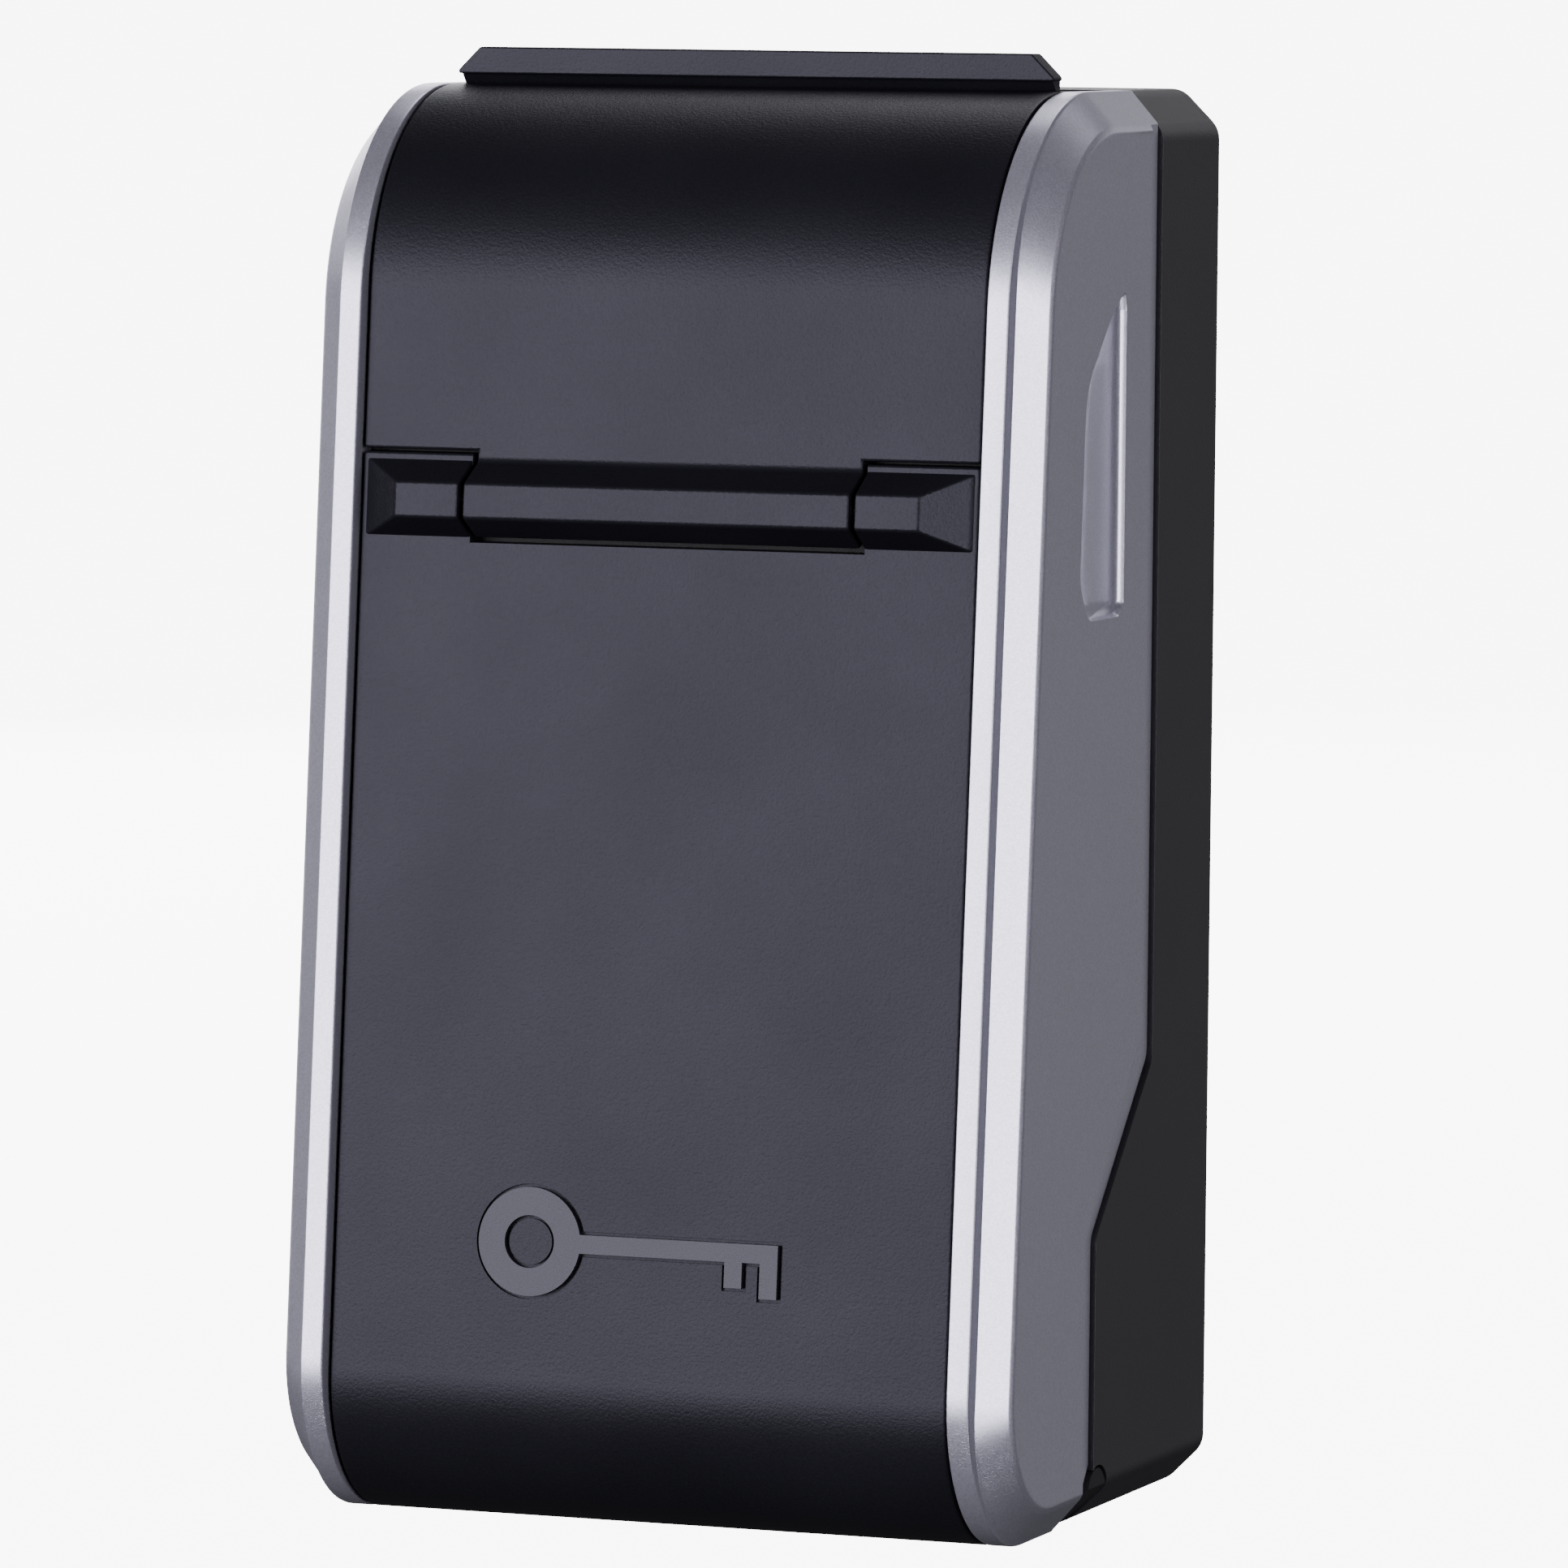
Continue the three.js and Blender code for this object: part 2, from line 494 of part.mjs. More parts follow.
// A long hollow in the side face: it deepens gently towards the rear and ends at a steep wall.
function fingerScoop() {
  const front = (z) => frontAt(z) + BEVEL + SCOOP.front;
  const low = SCOOP.bottom + SCOOP.shoulder / 2;
  const high = SCOOP.top - SCOOP.shoulder;
  const mouth = half + OVER;
  const lift = 1 + OVER / SCOOP.depth;
  const outline = [[front(low), low], [front(high), high], [-SCOOP.rear - 2, SCOOP.top],
    [-SCOOP.rear, high], [-SCOOP.rear, SCOOP.bottom], [front(SCOOP.bottom) + SCOOP.shoulder, SCOOP.bottom]];
  const valley = [[-SCOOP.valley, SCOOP.bottom + 2], [-SCOOP.valley, high]];
  const spread = ([y, z]) => [mouth, -SCOOP.valley + (y + SCOOP.valley) * lift, z];
  return hull([...outline.map(spread), ...valley.map(([y, z]) => [half - SCOOP.depth, y, z])]);
}

// A band in (y, z) that follows the leaning front, between two heights.
function slopedBand(z0, z1, insetFront, insetRear) {
  return [[frontAt(z1, insetFront), z1], [frontAt(z0, insetFront), z0],
    [frontAt(z0, insetRear), z0], [frontAt(z1, insetRear), z1]];
}

// ---- panel and weather cover --------------------------------------------------------------------
function ridgeOutline() {
  const foot = RIDGE_BASE / 2;
  const face = RIDGE_FACE / 2;
  return [
    [frontAt(RIDGE_CENTRE + foot, SKIN_INSET), RIDGE_CENTRE + foot],
    [frontAt(RIDGE_CENTRE + face, -RIDGE_PROUD), RIDGE_CENTRE + face],
    [frontAt(RIDGE_CENTRE - face, -RIDGE_PROUD), RIDGE_CENTRE - face],
    [frontAt(RIDGE_CENTRE - foot, SKIN_INSET), RIDGE_CENTRE - foot],
  ];
}

function ear(side) {
  const backInset = SKIN_INSET + PANEL_THICKNESS;
  const [a, b] = [side * earHalf, side * skinHalf].sort((p, q) => p - q);
  const plate = alongX(slopedBand(panelTop - OVER, coverBottom - GAP, SKIN_INSET, backInset), a, b);
  const outline = ridgeOutline();
  const foot = [outline[0], outline[3]];
  const face = [outline[1], outline[2]];
  const ridge = hull([
    ...foot.flatMap(([y, z]) => [earHalf, skinHalf].map((x) => [side * x, y + 0.5, z])),
    ...face.flatMap(([y, z]) => [earHalf, skinHalf - RIDGE_END_SLOPE].map((x) => [side * x, y, z])),
  ]);
  return join(plate, ridge);
}

const EMBLEM = { x: -15, z: 38, ring: 7, hole: 3.4, shaft: 34, thickness: 2.4, proud: 0.5, tooth: 4.5 };

// A raised plain key: a ring, a shaft and two teeth.
function keyEmblem() {
  const y0 = -EMBLEM.proud;
  const y1 = OVER;
  const t = EMBLEM.thickness / 2;
  const end = EMBLEM.shaft;
  const key = join(
    cut(rodY(0, 0, EMBLEM.ring, y0, y1, 28), rodY(0, 0, EMBLEM.hole, y0 - OVER, y1 + OVER, 20)),
    box(EMBLEM.ring - OVER, end, y0, y1, -t, t),
    box(end - 2 * t, end, y0, y1, -EMBLEM.tooth - t, 0),
    box(end - 6 * t, end - 4 * t, y0, y1, -EMBLEM.tooth, 0));
  return key.rotate([-THREE.MathUtils.radToDeg(LEAN), 0, 0])
    .translate([EMBLEM.x, frontAt(EMBLEM.z, SKIN_INSET), EMBLEM.z]);
}

function lowerPanel() {
  const plate = skin(SKIN_INSET, 0, 0, PANEL_THICKNESS, -skinHalf, skinHalf)
    .intersect(box(-WIDE, WIDE, -WIDE, footY, -WIDE, panelTop));
  const screwHoles = PANEL_SCREWS.map(([x, z]) => rodY(x, z, SCREW.shank + FIT,
    frontAt(z, SKIN_INSET + 1.2), frontAt(z, FRAME_INSET), 10));
  return cut(join(plate, ear(-1), ear(1), keyEmblem()), ...screwHoles,
    rodX(pinY, RIDGE_CENTRE, COVER_PIN_RADIUS + FIT / 2, -coverPinHalf - FIT, coverPinHalf + FIT, 14));
}

const coverPinHalf = skinHalf - RIDGE_END_SLOPE - 2;

function weatherCover() {
  const backInset = SKIN_INSET + COVER_THICKNESS;
  const plate = skin(SKIN_INSET, 0, 0, COVER_THICKNESS, -skinHalf, skinHalf)
    .intersect(box(-WIDE, WIDE, -WIDE, -coverEnd, coverBottom, WIDE));
  const tongue = alongX([
    [frontAt(coverBottom + OVER, SKIN_INSET), coverBottom + OVER], ...ridgeOutline(),
    ...KNUCKLE_BACK.map(([y, z]) => [pinY + y, RIDGE_CENTRE + z]),
    [frontAt(coverBottom + OVER, backInset), coverBottom + OVER],
  ], -TONGUE_HALF, TONGUE_HALF);
  const lipFront = -coverEnd - LIP_THICKNESS;
  const lipTop = BODY_HEIGHT + LIP_RISE;
  const lipFoot = lipTop - LIP_HEIGHT;
  const lip = alongY([[-LIP_HALF, lipFoot], [LIP_HALF, lipFoot], [LIP_HALF, lipTop - LIP_END],
    [LIP_HALF - LIP_END, lipTop], [-LIP_HALF + LIP_END, lipTop], [-LIP_HALF, lipTop - LIP_END]],
  lipFront, -coverEnd);
  const neck = box(-LIP_HALF, LIP_HALF, lipFront + LIP_NECK, -coverEnd, BODY_HEIGHT - OVER, lipFoot + OVER);
  return cut(join(plate, tongue, lip, neck),
    rodX(pinY, RIDGE_CENTRE, COVER_PIN_RADIUS + FIT, -WIDE, WIDE, 14));
}

const COVER_SEAL = { half: 38.5, width: 1.6, bottom: 139.9, top: 159.5, thickness: 0.8 };

function coverSeal() {
  const inset = SKIN_INSET + COVER_THICKNESS + FIT / 2;
  const band = (z0, z1, extra, halfWidth) => alongX([
    [frontAt(z1, inset - extra), z1], [frontAt(z0, inset - extra), z0],
    [frontAt(z0, inset + COVER_SEAL.thickness + extra), z0],
    [frontAt(z1, inset + COVER_SEAL.thickness + extra), z1],
  ], -halfWidth, halfWidth);
  return cut(band(COVER_SEAL.bottom, COVER_SEAL.top, 0, COVER_SEAL.half),
    band(COVER_SEAL.bottom + COVER_SEAL.width, COVER_SEAL.top - COVER_SEAL.width, OVER,
      COVER_SEAL.half - COVER_SEAL.width));
}

// ---- lock -------------------------------------------------------------------------------------
const slotBottom = DIAL_Z - 7.2;
const buttonBottom = slotBottom + 0.8;
const stemBottom = buttonBottom + (SLIDE_BUTTON.height - STEM.height) / 2;

function stemSlot(y0, y1) {
  return box(SLIDE_X - STEM.width / 2 - GAP, SLIDE_X + STEM.width / 2 + GAP, y0, y1,
    stemBottom - GAP, stemBottom + STEM.height + SLIDE_TRAVEL + GAP);
}

function lockFace() {
  const plateInset = shellInset + FIT;
  const plate = alongX(slopedBand(CASE_BOTTOM, WINDOW_TOP + 1.5, plateInset, plateInset + FACE_PLATE),
    -CASE_HALF, CASE_HALF);
  const boss = alongX(slopedBand(WINDOW_BOTTOM + GAP, WINDOW_TOP - GAP, FACE_INSET, plateInset + OVER),
    -WINDOW_HALF + GAP, WINDOW_HALF - GAP);
  const slots = Array.from({ length: DIAL_COUNT }, (_, i) => rodX(dialY, DIAL_Z, DIAL_RADIUS + 0.5,
    dialX(i) - DIAL_WIDTH / 2 - GAP, dialX(i) + DIAL_WIDTH / 2 + GAP, 32));
  const gateRoom = rodX(dialY, DIAL_Z, GATE.radius + GAP, dialX(0) - DIAL_WIDTH, RIB_X, 28);
  const spindleRoom = rodX(dialY, DIAL_Z, SPINDLE_RADIUS + GAP, spindleEnds[0] - GAP, spindleEnds[1] + GAP);
  return cut(join(plate, boss), ...slots, gateRoom, spindleRoom, stemSlot(-WIDE, WIDE));
}

const spindleEnds = [-CASE_HALF + CASE_WALL / 2, RIB_X + CASE_WALL - 0.5];
const caseFrontInset = faceRearInset + FIT;
const RESET = { x: -22, z: 150, hub: 2.2, disc: 4.6, arm: 12, thickness: 1.8, width: 4 };
const SPRING = {
  x: SLIDE_X + 8.5, radius: 1.9, wire: 0.4, turns: 5, length: 8.6,
  squash: 0.3,                            // narrower front to back, clear of the lock case
  shelf: 140, shelfLeft: 2.8, shelfRight: 11, shelfThickness: 2,
};
const springTop = SPRING.shelf + SPRING.length;

function lockCase() {
  const outer = alongX([
    [frontAt(CASE_TOP, caseFrontInset), CASE_TOP], [frontAt(CASE_BOTTOM, caseFrontInset), CASE_BOTTOM],
    [-CASE_REAR, CASE_BOTTOM], [-CASE_REAR, CASE_TOP]], -CASE_HALF, CASE_HALF);
  const inner = box(-CASE_HALF + CASE_WALL, CASE_HALF - CASE_WALL, -WIDE, -CASE_REAR - CASE_WALL,
    CASE_BOTTOM + CASE_WALL, CASE_TOP - CASE_WALL);
  const rib = alongX([
    [frontAt(CASE_TOP - OVER, caseFrontInset), CASE_TOP - OVER],
    [frontAt(CASE_BOTTOM + OVER, caseFrontInset), CASE_BOTTOM + OVER],
    [-CASE_REAR - OVER, CASE_BOTTOM + OVER], [-CASE_REAR - OVER, CASE_TOP - OVER],
  ], RIB_X, RIB_X + CASE_WALL);
  const lugs = CASE_SCREWS.map(([x, z]) => {
    const [a, b] = [Math.sign(x) * (CASE_HALF - OVER), x + Math.sign(x) * LUG.half]
      .sort((p, q) => p - q);
    return box(a, b, -BOSS.rear + FIT, -BOSS.rear + FIT + LUG.thickness, z - LUG.half, z + LUG.half);
  });
  const guideRear = latchRear + GUIDE.proud;
  const guides = [SLIDE_X - GUIDE.left, SLIDE_X + GUIDE.right].map((x) =>
    box(x, x + GUIDE.thickness, -CASE_REAR - OVER, guideRear, CASE_BOTTOM + GUIDE.foot, CASE_TOP));
  const shelf = box(SPRING.x - SPRING.shelfLeft, SLIDE_X + SPRING.shelfRight, -CASE_REAR - OVER,
    guideRear, SPRING.shelf - SPRING.shelfThickness, SPRING.shelf);
  const bores = [
    rodX(dialY, DIAL_Z, SPINDLE_RADIUS + FIT / 2, spindleEnds[0] - FIT, spindleEnds[1] + OVER),
    rodY(RESET.x, RESET.z, RESET.hub + FIT, -CASE_REAR - CASE_WALL - OVER, -CASE_REAR + OVER),
    ...CASE_SCREWS.map(([x, z]) =>
      rodY(x, z, SCREW.shank + FIT, -BOSS.rear, -BOSS.rear + 2 * LUG.thickness, 10)),
    stemSlot(-CASE_REAR - CASE_WALL - OVER, -CASE_REAR + OVER),
  ];
  return cut(join(cut(outer, inner), rib, ...lugs, ...guides, shelf), ...bores);
}

const NOTCH = { depth: 0.5, share: 0.16 };

function dial(i) {
  const step = 2 * Math.PI / DIGITS;
  const outline = Array.from({ length: DIGITS }, (_, digit) => [
    [-0.5 + NOTCH.share, 0], [-0.25, 0.02], [0, 0.05], [0.25, 0.02], [0.5 - NOTCH.share, 0],
    [0.5, NOTCH.depth],
  ].map(([share, drop]) => {
    const turn = (digit + share) * step + Math.PI;
    const radius = DIAL_RADIUS - drop;
    return [dialY + radius * Math.cos(turn), DIAL_Z + radius * Math.sin(turn)];
  })).flat();
  const x = dialX(i);
  return cut(alongX(outline, x - DIAL_WIDTH / 2, x + DIAL_WIDTH / 2),
    rodX(dialY, DIAL_Z, CAM_RADIUS + FIT, x - DIAL_WIDTH, x + DIAL_WIDTH));
}

function dialCam(i) {
  const x0 = dialX(i) - DIAL_WIDTH / 2 - 0.5;
  const x1 = dialX(i) + DIAL_WIDTH / 2 + GAP;
  return cut(
    join(rodX(dialY, DIAL_Z, CAM_RADIUS, x0, x1 + GATE.thickness),
      rodX(dialY, DIAL_Z, GATE.radius, x1, x1 + GATE.thickness, 28)),
    rodX(dialY, DIAL_Z, SPINDLE_RADIUS + FIT, x0 - OVER, x1 + GATE.thickness + OVER),
    box(x1 - OVER / 2, x1 + GATE.thickness + OVER, dialY - GATE.notch / 2, dialY + GATE.notch / 2,
      DIAL_Z + CAM_RADIUS + 0.3, WIDE));
}

const DETENT = { gap: 0.5, thickness: 0.8, finger: 5, tip: 154 };

function detentSpring() {
  const rear = -CASE_REAR - CASE_WALL - FIT;
  const leafFront = dialY + DIAL_RADIUS + DETENT.gap;
  const foot = CASE_BOTTOM + CASE_WALL + FIT;
  const [left, right] = [dialX(0) - DIAL_WIDTH / 2, dialX(DIAL_COUNT - 1) + DIAL_WIDTH / 2];
  const leaves = Array.from({ length: DIAL_COUNT }, (_, i) =>
    box(dialX(i) - DETENT.finger / 2, dialX(i) + DETENT.finger / 2,
      leafFront, leafFront + DETENT.thickness, foot + DETENT.thickness / 2, DETENT.tip));
  return join(box(left, right, leafFront, rear, foot, foot + DETENT.thickness), ...leaves);
}

function releaseSlide() {
  const x0 = SLIDE_X - SLIDE_BUTTON.width / 2;
  const x1 = SLIDE_X + SLIDE_BUTTON.width / 2;
  const top = buttonBottom + SLIDE_BUTTON.height;
  const button = alongX(slopedBand(buttonBottom, top, DIAL_INSET, FACE_INSET - GAP), x0, x1);
  const gripHeight = SLIDE_BUTTON.height / 5;
  const grooves = [1, 3].map((k) => alongX(
    slopedBand(buttonBottom + k * gripHeight, buttonBottom + (k + 1) * gripHeight,
      DIAL_INSET - OVER, DIAL_INSET + SLIDE_BUTTON.grip),
    x0 + SLIDE_BUTTON.margin, x1 - SLIDE_BUTTON.margin));
  const stem = box(SLIDE_X - STEM.width / 2, SLIDE_X + STEM.width / 2,
    frontAt(stemBottom, DIAL_INSET + 1.2), latchRear + OVER / 2, stemBottom, stemBottom + STEM.height);
  return join(cut(button, ...grooves), stem);
}

function latchBolt() {
  const [left, right] = [SLIDE_X - LATCH.left, SLIDE_X + LATCH.right];
  const besideSpring = SPRING.x - LATCH.springSide;
  const bottom = stemBottom - LATCH.foot;
  const shoulder = CASE_TOP - LATCH.shoulder;
  const outline = [
    [left, bottom], [besideSpring, bottom], [besideSpring, springTop + FIT],
    [right, springTop + FIT], [right, shoulder], [SLIDE_X + BOLT_WIDTH / 2, shoulder],
    [SLIDE_X + BOLT_WIDTH / 2, boltTop], [SLIDE_X - BOLT_WIDTH / 2, boltTop],
    [SLIDE_X - BOLT_WIDTH / 2, shoulder], [left, shoulder],
  ];
  return cut(alongY(outline, latchFront, latchRear),
    box(SLIDE_X - STEM.width / 2 - FIT, SLIDE_X + STEM.width / 2 + FIT, latchFront - OVER, latchRear + OVER,
      stemBottom - FIT, stemBottom + STEM.height + FIT));
}

function latchSpring() {
  const y = (latchFront + latchRear) / 2;
  const bottom = SPRING.shelf + SPRING.wire + FIT;
  const length = springTop - SPRING.wire - bottom - FIT / 2;
  const steps = SPRING.turns * 10;
  const points = Array.from({ length: steps + 1 }, (_, i) => {
    const turn = i / 10 * 2 * Math.PI;
    return new THREE.Vector3(SPRING.x + (SPRING.radius - SPRING.wire) * Math.cos(turn),
      y + (SPRING.radius - SPRING.wire - SPRING.squash) * Math.sin(turn), bottom + length * i / steps);
  });
  const path = new THREE.CatmullRomCurve3(points);
  const section = new THREE.Shape(circle(0, 0, SPRING.wire, 6).map(([a, b]) => new THREE.Vector2(a, b)));
  return solid(new THREE.ExtrudeGeometry(section, {
    extrudePath: path, steps, bevelEnabled: false,
  }));
}

function codeLever() {
  const y0 = -CASE_REAR + FIT;
  const y1 = y0 + RESET.thickness;
  return join(rodY(RESET.x, RESET.z, RESET.hub, -CASE_REAR - CASE_WALL, y1, 16),
    rodY(RESET.x, RESET.z, RESET.disc, y0, y1, 24),
    box(RESET.x - RESET.width / 2, RESET.x + RESET.width / 2, y0, y1, RESET.z - RESET.arm, RESET.z));
}

// ---- assembly ---------------------------------------------------------------------------------
add('wall_housing', wallHousing(), blackPlastic);
add('strike_plate', strikePlate(), zincPlate);
[-STRIKE.screwX, STRIKE.screwX].forEach((x, i) => add(`strike_screw_${i + 1}`, strikeScrew(x), steel));
const hingePinHalf = half - HOUSING_WALL - FIT;
add('hinge_pin', rodX(HINGE_Y, HINGE_Z, HINGE_PIN_RADIUS, -hingePinHalf, hingePinHalf), steel);
add('hook_rail', hookRail(), blackPlastic);
hookPlaces().forEach((x, i) => add(`key_hook_${i + 1}`, keyHook(x), steel));
add('compartment_liner', compartmentLiner(), rubber);
add('door_seal', doorSeal(), rubber);

add('door_frame', doorFrame(), blackPlastic);
add('lower_panel', lowerPanel(), blackPaint);
add('side_cover_left', sideCover(-1), silverPaint);
add('side_cover_right', sideCover(1), silverPaint);
PANEL_SCREWS.forEach(([x, z], i) => add(`panel_screw_${i + 1}`,
  screwY(x, z, frontAt(z, shellInset) + FIT + 0.2, -FRAME_WALL - FIT - 1.9), steel));
SIDE_SCREWS.forEach(([side, z], i) => {
  const seat = frameInner - FIT;
  const screw = join(rodX(sideScrewY(z), z, SCREW.shank, seat, half - SIDE_WALL + 0.9, 10),
    rodX(sideScrewY(z), z, SCREW.head, seat - SCREW.headHeight, seat, 14));
  add(`side_screw_${i + 1}`, side > 0 ? screw : mirrored(screw), steel);
});

add('lock_face', lockFace(), dialMetal);
add('lock_case', lockCase(), zincPlate);
CASE_SCREWS.forEach(([x, z], i) => add(`case_screw_${i + 1}`,
  screwY(x, z, -BOSS.rear + FIT + LUG.thickness + FIT, -LUG.thickness - 5), steel));
add('dial_spindle', rodX(dialY, DIAL_Z, SPINDLE_RADIUS, ...spindleEnds), steel);
add('detent_spring', detentSpring(), steel);
add('latch_spring', latchSpring(), steel);
add('cover_pin', rodX(pinY, RIDGE_CENTRE, COVER_PIN_RADIUS, -coverPinHalf, coverPinHalf, 14), steel);

add('weather_cover', weatherCover(), blackPaint);
add('cover_seal', coverSeal(), rubber);

for (let i = 0; i < DIAL_COUNT; i += 1) {
  add(`dial_${i + 1}`, dial(i), dialMetal);
  add(`dial_cam_${i + 1}`, dialCam(i), brass);
}
add('release_slide', releaseSlide(), blackPlastic);
add('latch_bolt', latchBolt(), zincPlate);
add('code_lever', codeLever(), brass);

export default model;
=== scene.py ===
"""Wall-mounted key lock box: moulded shells, silver side covers, code dials and lock parts."""
import math

import bmesh
import bpy
from mathutils import Matrix, Vector


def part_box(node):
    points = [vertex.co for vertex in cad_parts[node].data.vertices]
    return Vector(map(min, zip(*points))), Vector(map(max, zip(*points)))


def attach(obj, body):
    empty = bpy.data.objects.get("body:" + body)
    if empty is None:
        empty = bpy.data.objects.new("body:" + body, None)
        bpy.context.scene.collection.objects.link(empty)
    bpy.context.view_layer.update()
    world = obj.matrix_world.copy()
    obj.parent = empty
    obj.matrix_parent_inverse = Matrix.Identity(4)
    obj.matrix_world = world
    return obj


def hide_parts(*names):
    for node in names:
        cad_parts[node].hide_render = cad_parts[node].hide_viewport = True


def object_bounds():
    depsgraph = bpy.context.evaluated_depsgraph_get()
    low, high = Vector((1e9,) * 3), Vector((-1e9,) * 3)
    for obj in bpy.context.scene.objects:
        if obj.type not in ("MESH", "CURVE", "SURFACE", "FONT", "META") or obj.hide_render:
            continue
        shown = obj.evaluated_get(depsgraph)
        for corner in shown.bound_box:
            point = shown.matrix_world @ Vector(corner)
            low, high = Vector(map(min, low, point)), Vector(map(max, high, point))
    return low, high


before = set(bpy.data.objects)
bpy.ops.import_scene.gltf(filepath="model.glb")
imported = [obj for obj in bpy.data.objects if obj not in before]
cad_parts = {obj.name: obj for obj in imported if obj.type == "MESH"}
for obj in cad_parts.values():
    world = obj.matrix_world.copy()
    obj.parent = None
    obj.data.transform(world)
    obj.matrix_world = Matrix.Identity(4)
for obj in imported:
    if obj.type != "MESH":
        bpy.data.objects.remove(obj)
cad_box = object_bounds()

# ---- sizes ------------------------------------------------------------------------------------
# Modelling is in millimetres in the CAD's own frame. hand_over() scales each finished mesh to metres.
MM = 0.001


def span(node):
    """The lowest and highest corner of a CAD node, in millimetres."""
    low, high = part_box(node)
    return low / MM, high / MM


UNDER = cad_box[0].z / MM
TOP = span("wall_housing")[1].z
HALF = span("side_cover_right")[1].x
FRONT_FOOT = -84.0                # front face carried down to the underside
LEAN = math.radians(4.6)
TOP_RADIUS = 30.0
BOTTOM_RADIUS = 20.5
GAP = 0.4

HOUSING_DEPTH = 23.4
FOOT_DEPTH = 45.4
FOOT_TOP = UNDER + 38
SLANT_TOP = FOOT_TOP + 21
HOUSING_WALL = 3.0
CORNER = 5.2
SLANT_ROUNDING = 3.0              # both ends of the slanted parting line
CORNER_ROUNDING = 3.6             # both ends of each cut-off corner
MOUNT = {"x": 32, "low": 24, "high": 160, "radius": 2.75, "inner_rim": 4.6, "outer_rim": 4.2}

RAIL_INNER = span("side_cover_right")[0].x
RAIL_OUTER = RAIL_INNER + 3.1
RAIL_STEP = 1.9
STEP_AT_ENDS = 0.12               # what is left of the step at the top and underside
BEVEL = 4.9
SIDE_WALL = 2.6
SIDE_DEPTH = 5.2
REAR_LIP = 3.4
REAR_LIP_STEP = 0.5
DOOR_GAP = 0.5

SKIN_INSET = 1.6
SKIN_HALF = span("lower_panel")[1].x - 0.15
PANEL_THICKNESS = 3.6
COVER_THICKNESS = 2.6
PIN_LOW, PIN_HIGH = span("cover_pin")
PIN_Y = (PIN_LOW.y + PIN_HIGH.y) / 2
RIDGE_Z = (PIN_LOW.z + PIN_HIGH.z) / 2
RIDGE_PROUD = 3.0
RIDGE_FOOT = 4.9                  # half the ridge's height at its foot
RIDGE_FACE = 2.25                 # half the height of its flat face
RIDGE_END = 6.5                   # length of the slope at each end
TONGUE_HALF = 26.4
EAR_INNER = TONGUE_HALF + 0.6
PANEL_TOP = RIDGE_Z - RIDGE_FOOT - 0.65
COVER_BOTTOM = RIDGE_Z + RIDGE_FOOT + 1.3
LIP_TOP = span("weather_cover")[1].z
LIP_HALF = 41.3
LIP_HEIGHT = 3.5
LIP_THICKNESS = 3.6
LIP_CORNER = 3.0
LIP_NECK = 2.0

HINGE = (Vector(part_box("hinge_pin")[0]) + Vector(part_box("hinge_pin")[1])) / 2 / MM
BARREL_RADIUS = 3.6
KNUCKLE_HALF = 29.5
FOOT_REAR = HINGE.y - BARREL_RADIUS - 2.5

DIAL_RADIUS = 9.2
DIGITS = 10
SPINDLE = (Vector(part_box("dial_spindle")[0]) + Vector(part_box("dial_spindle")[1])) / 2 / MM

EDGE = 0.4                        # rounding of the moulded edges


def front_at(z, inset=0.0):
    """Where the leaning front face is at a height, set back by an inset."""
    return FRONT_FOOT + (z - UNDER) * math.tan(LEAN) + inset / math.cos(LEAN)


# ---- outlines ---------------------------------------------------------------------------------
def rounded(corners, radii, steps=6):
    """The outline with an arc in place of each corner that has a radius."""
    outline = []
    for i, (corner, radius) in enumerate(zip(corners, radii)):
        here = Vector(corner)
        if radius <= 0:
            outline.append(here)
            continue
        back = (Vector(corners[i - 1]) - here).normalized()
        ahead = (Vector(corners[(i + 1) % len(corners)]) - here).normalized()
        opening = back.angle(ahead) / 2
        centre = here + (back + ahead).normalized() * radius / math.sin(opening)
        start, end = (here + way * radius / math.tan(opening) - centre for way in (back, ahead))
        turn = math.atan2(start.x * end.y - start.y * end.x, start.dot(end))
        count = steps if radius < TOP_RADIUS / 3 else 4 * steps
        for k in range(count + 1):
            outline.append(centre + Matrix.Rotation(turn * k / count, 2) @ start)
    return outline


def across_x(x, outline):
    """An outline in (y, z) stood at x."""
    return [Vector((x, y, z)) for y, z in outline]


def across_y(y, outline):
    """An outline in (x, z) stood at y."""
    return [Vector((x, y, z)) for x, z in outline]


def parting_line(back, foot_z, top_z):
    """The door's rear edge from the underside up, `back` in front of the housing's edge."""
    corners = [
        (FOOT_REAR, foot_z),
        (-FOOT_DEPTH - back, HINGE.z + BARREL_RADIUS + 0.8),
        (-FOOT_DEPTH - back, FOOT_TOP),
        (-HOUSING_DEPTH - back, SLANT_TOP + back),
        (-HOUSING_DEPTH - back, top_z),
    ]
    return corners, [0, 0, SLANT_ROUNDING, SLANT_ROUNDING, 0]


def door_outline(front, ends, back):
    """The side view of the door, drawn in at the front and at its two ends."""
    low, high = UNDER + ends, TOP - ends
    rear, rear_radii = parting_line(back, low, high)
    corners = [(front_at(high, front), high), (front_at(low, front), low), *rear]
    inset = max(front, ends)
    return rounded(corners, [TOP_RADIUS - inset, BOTTOM_RADIUS - inset, *rear_radii])


def cornered(half, low, high, corner, radius):
    """A rectangle with cut-off corners, each end of the cuts softened."""
    corners = [
        (-half, low + corner), (-half + corner, low), (half - corner, low), (half, low + corner),
        (half, high - corner), (half - corner, high), (-half + corner, high), (-half, high - corner),
    ]
    return rounded(corners, [radius] * 8, 5)


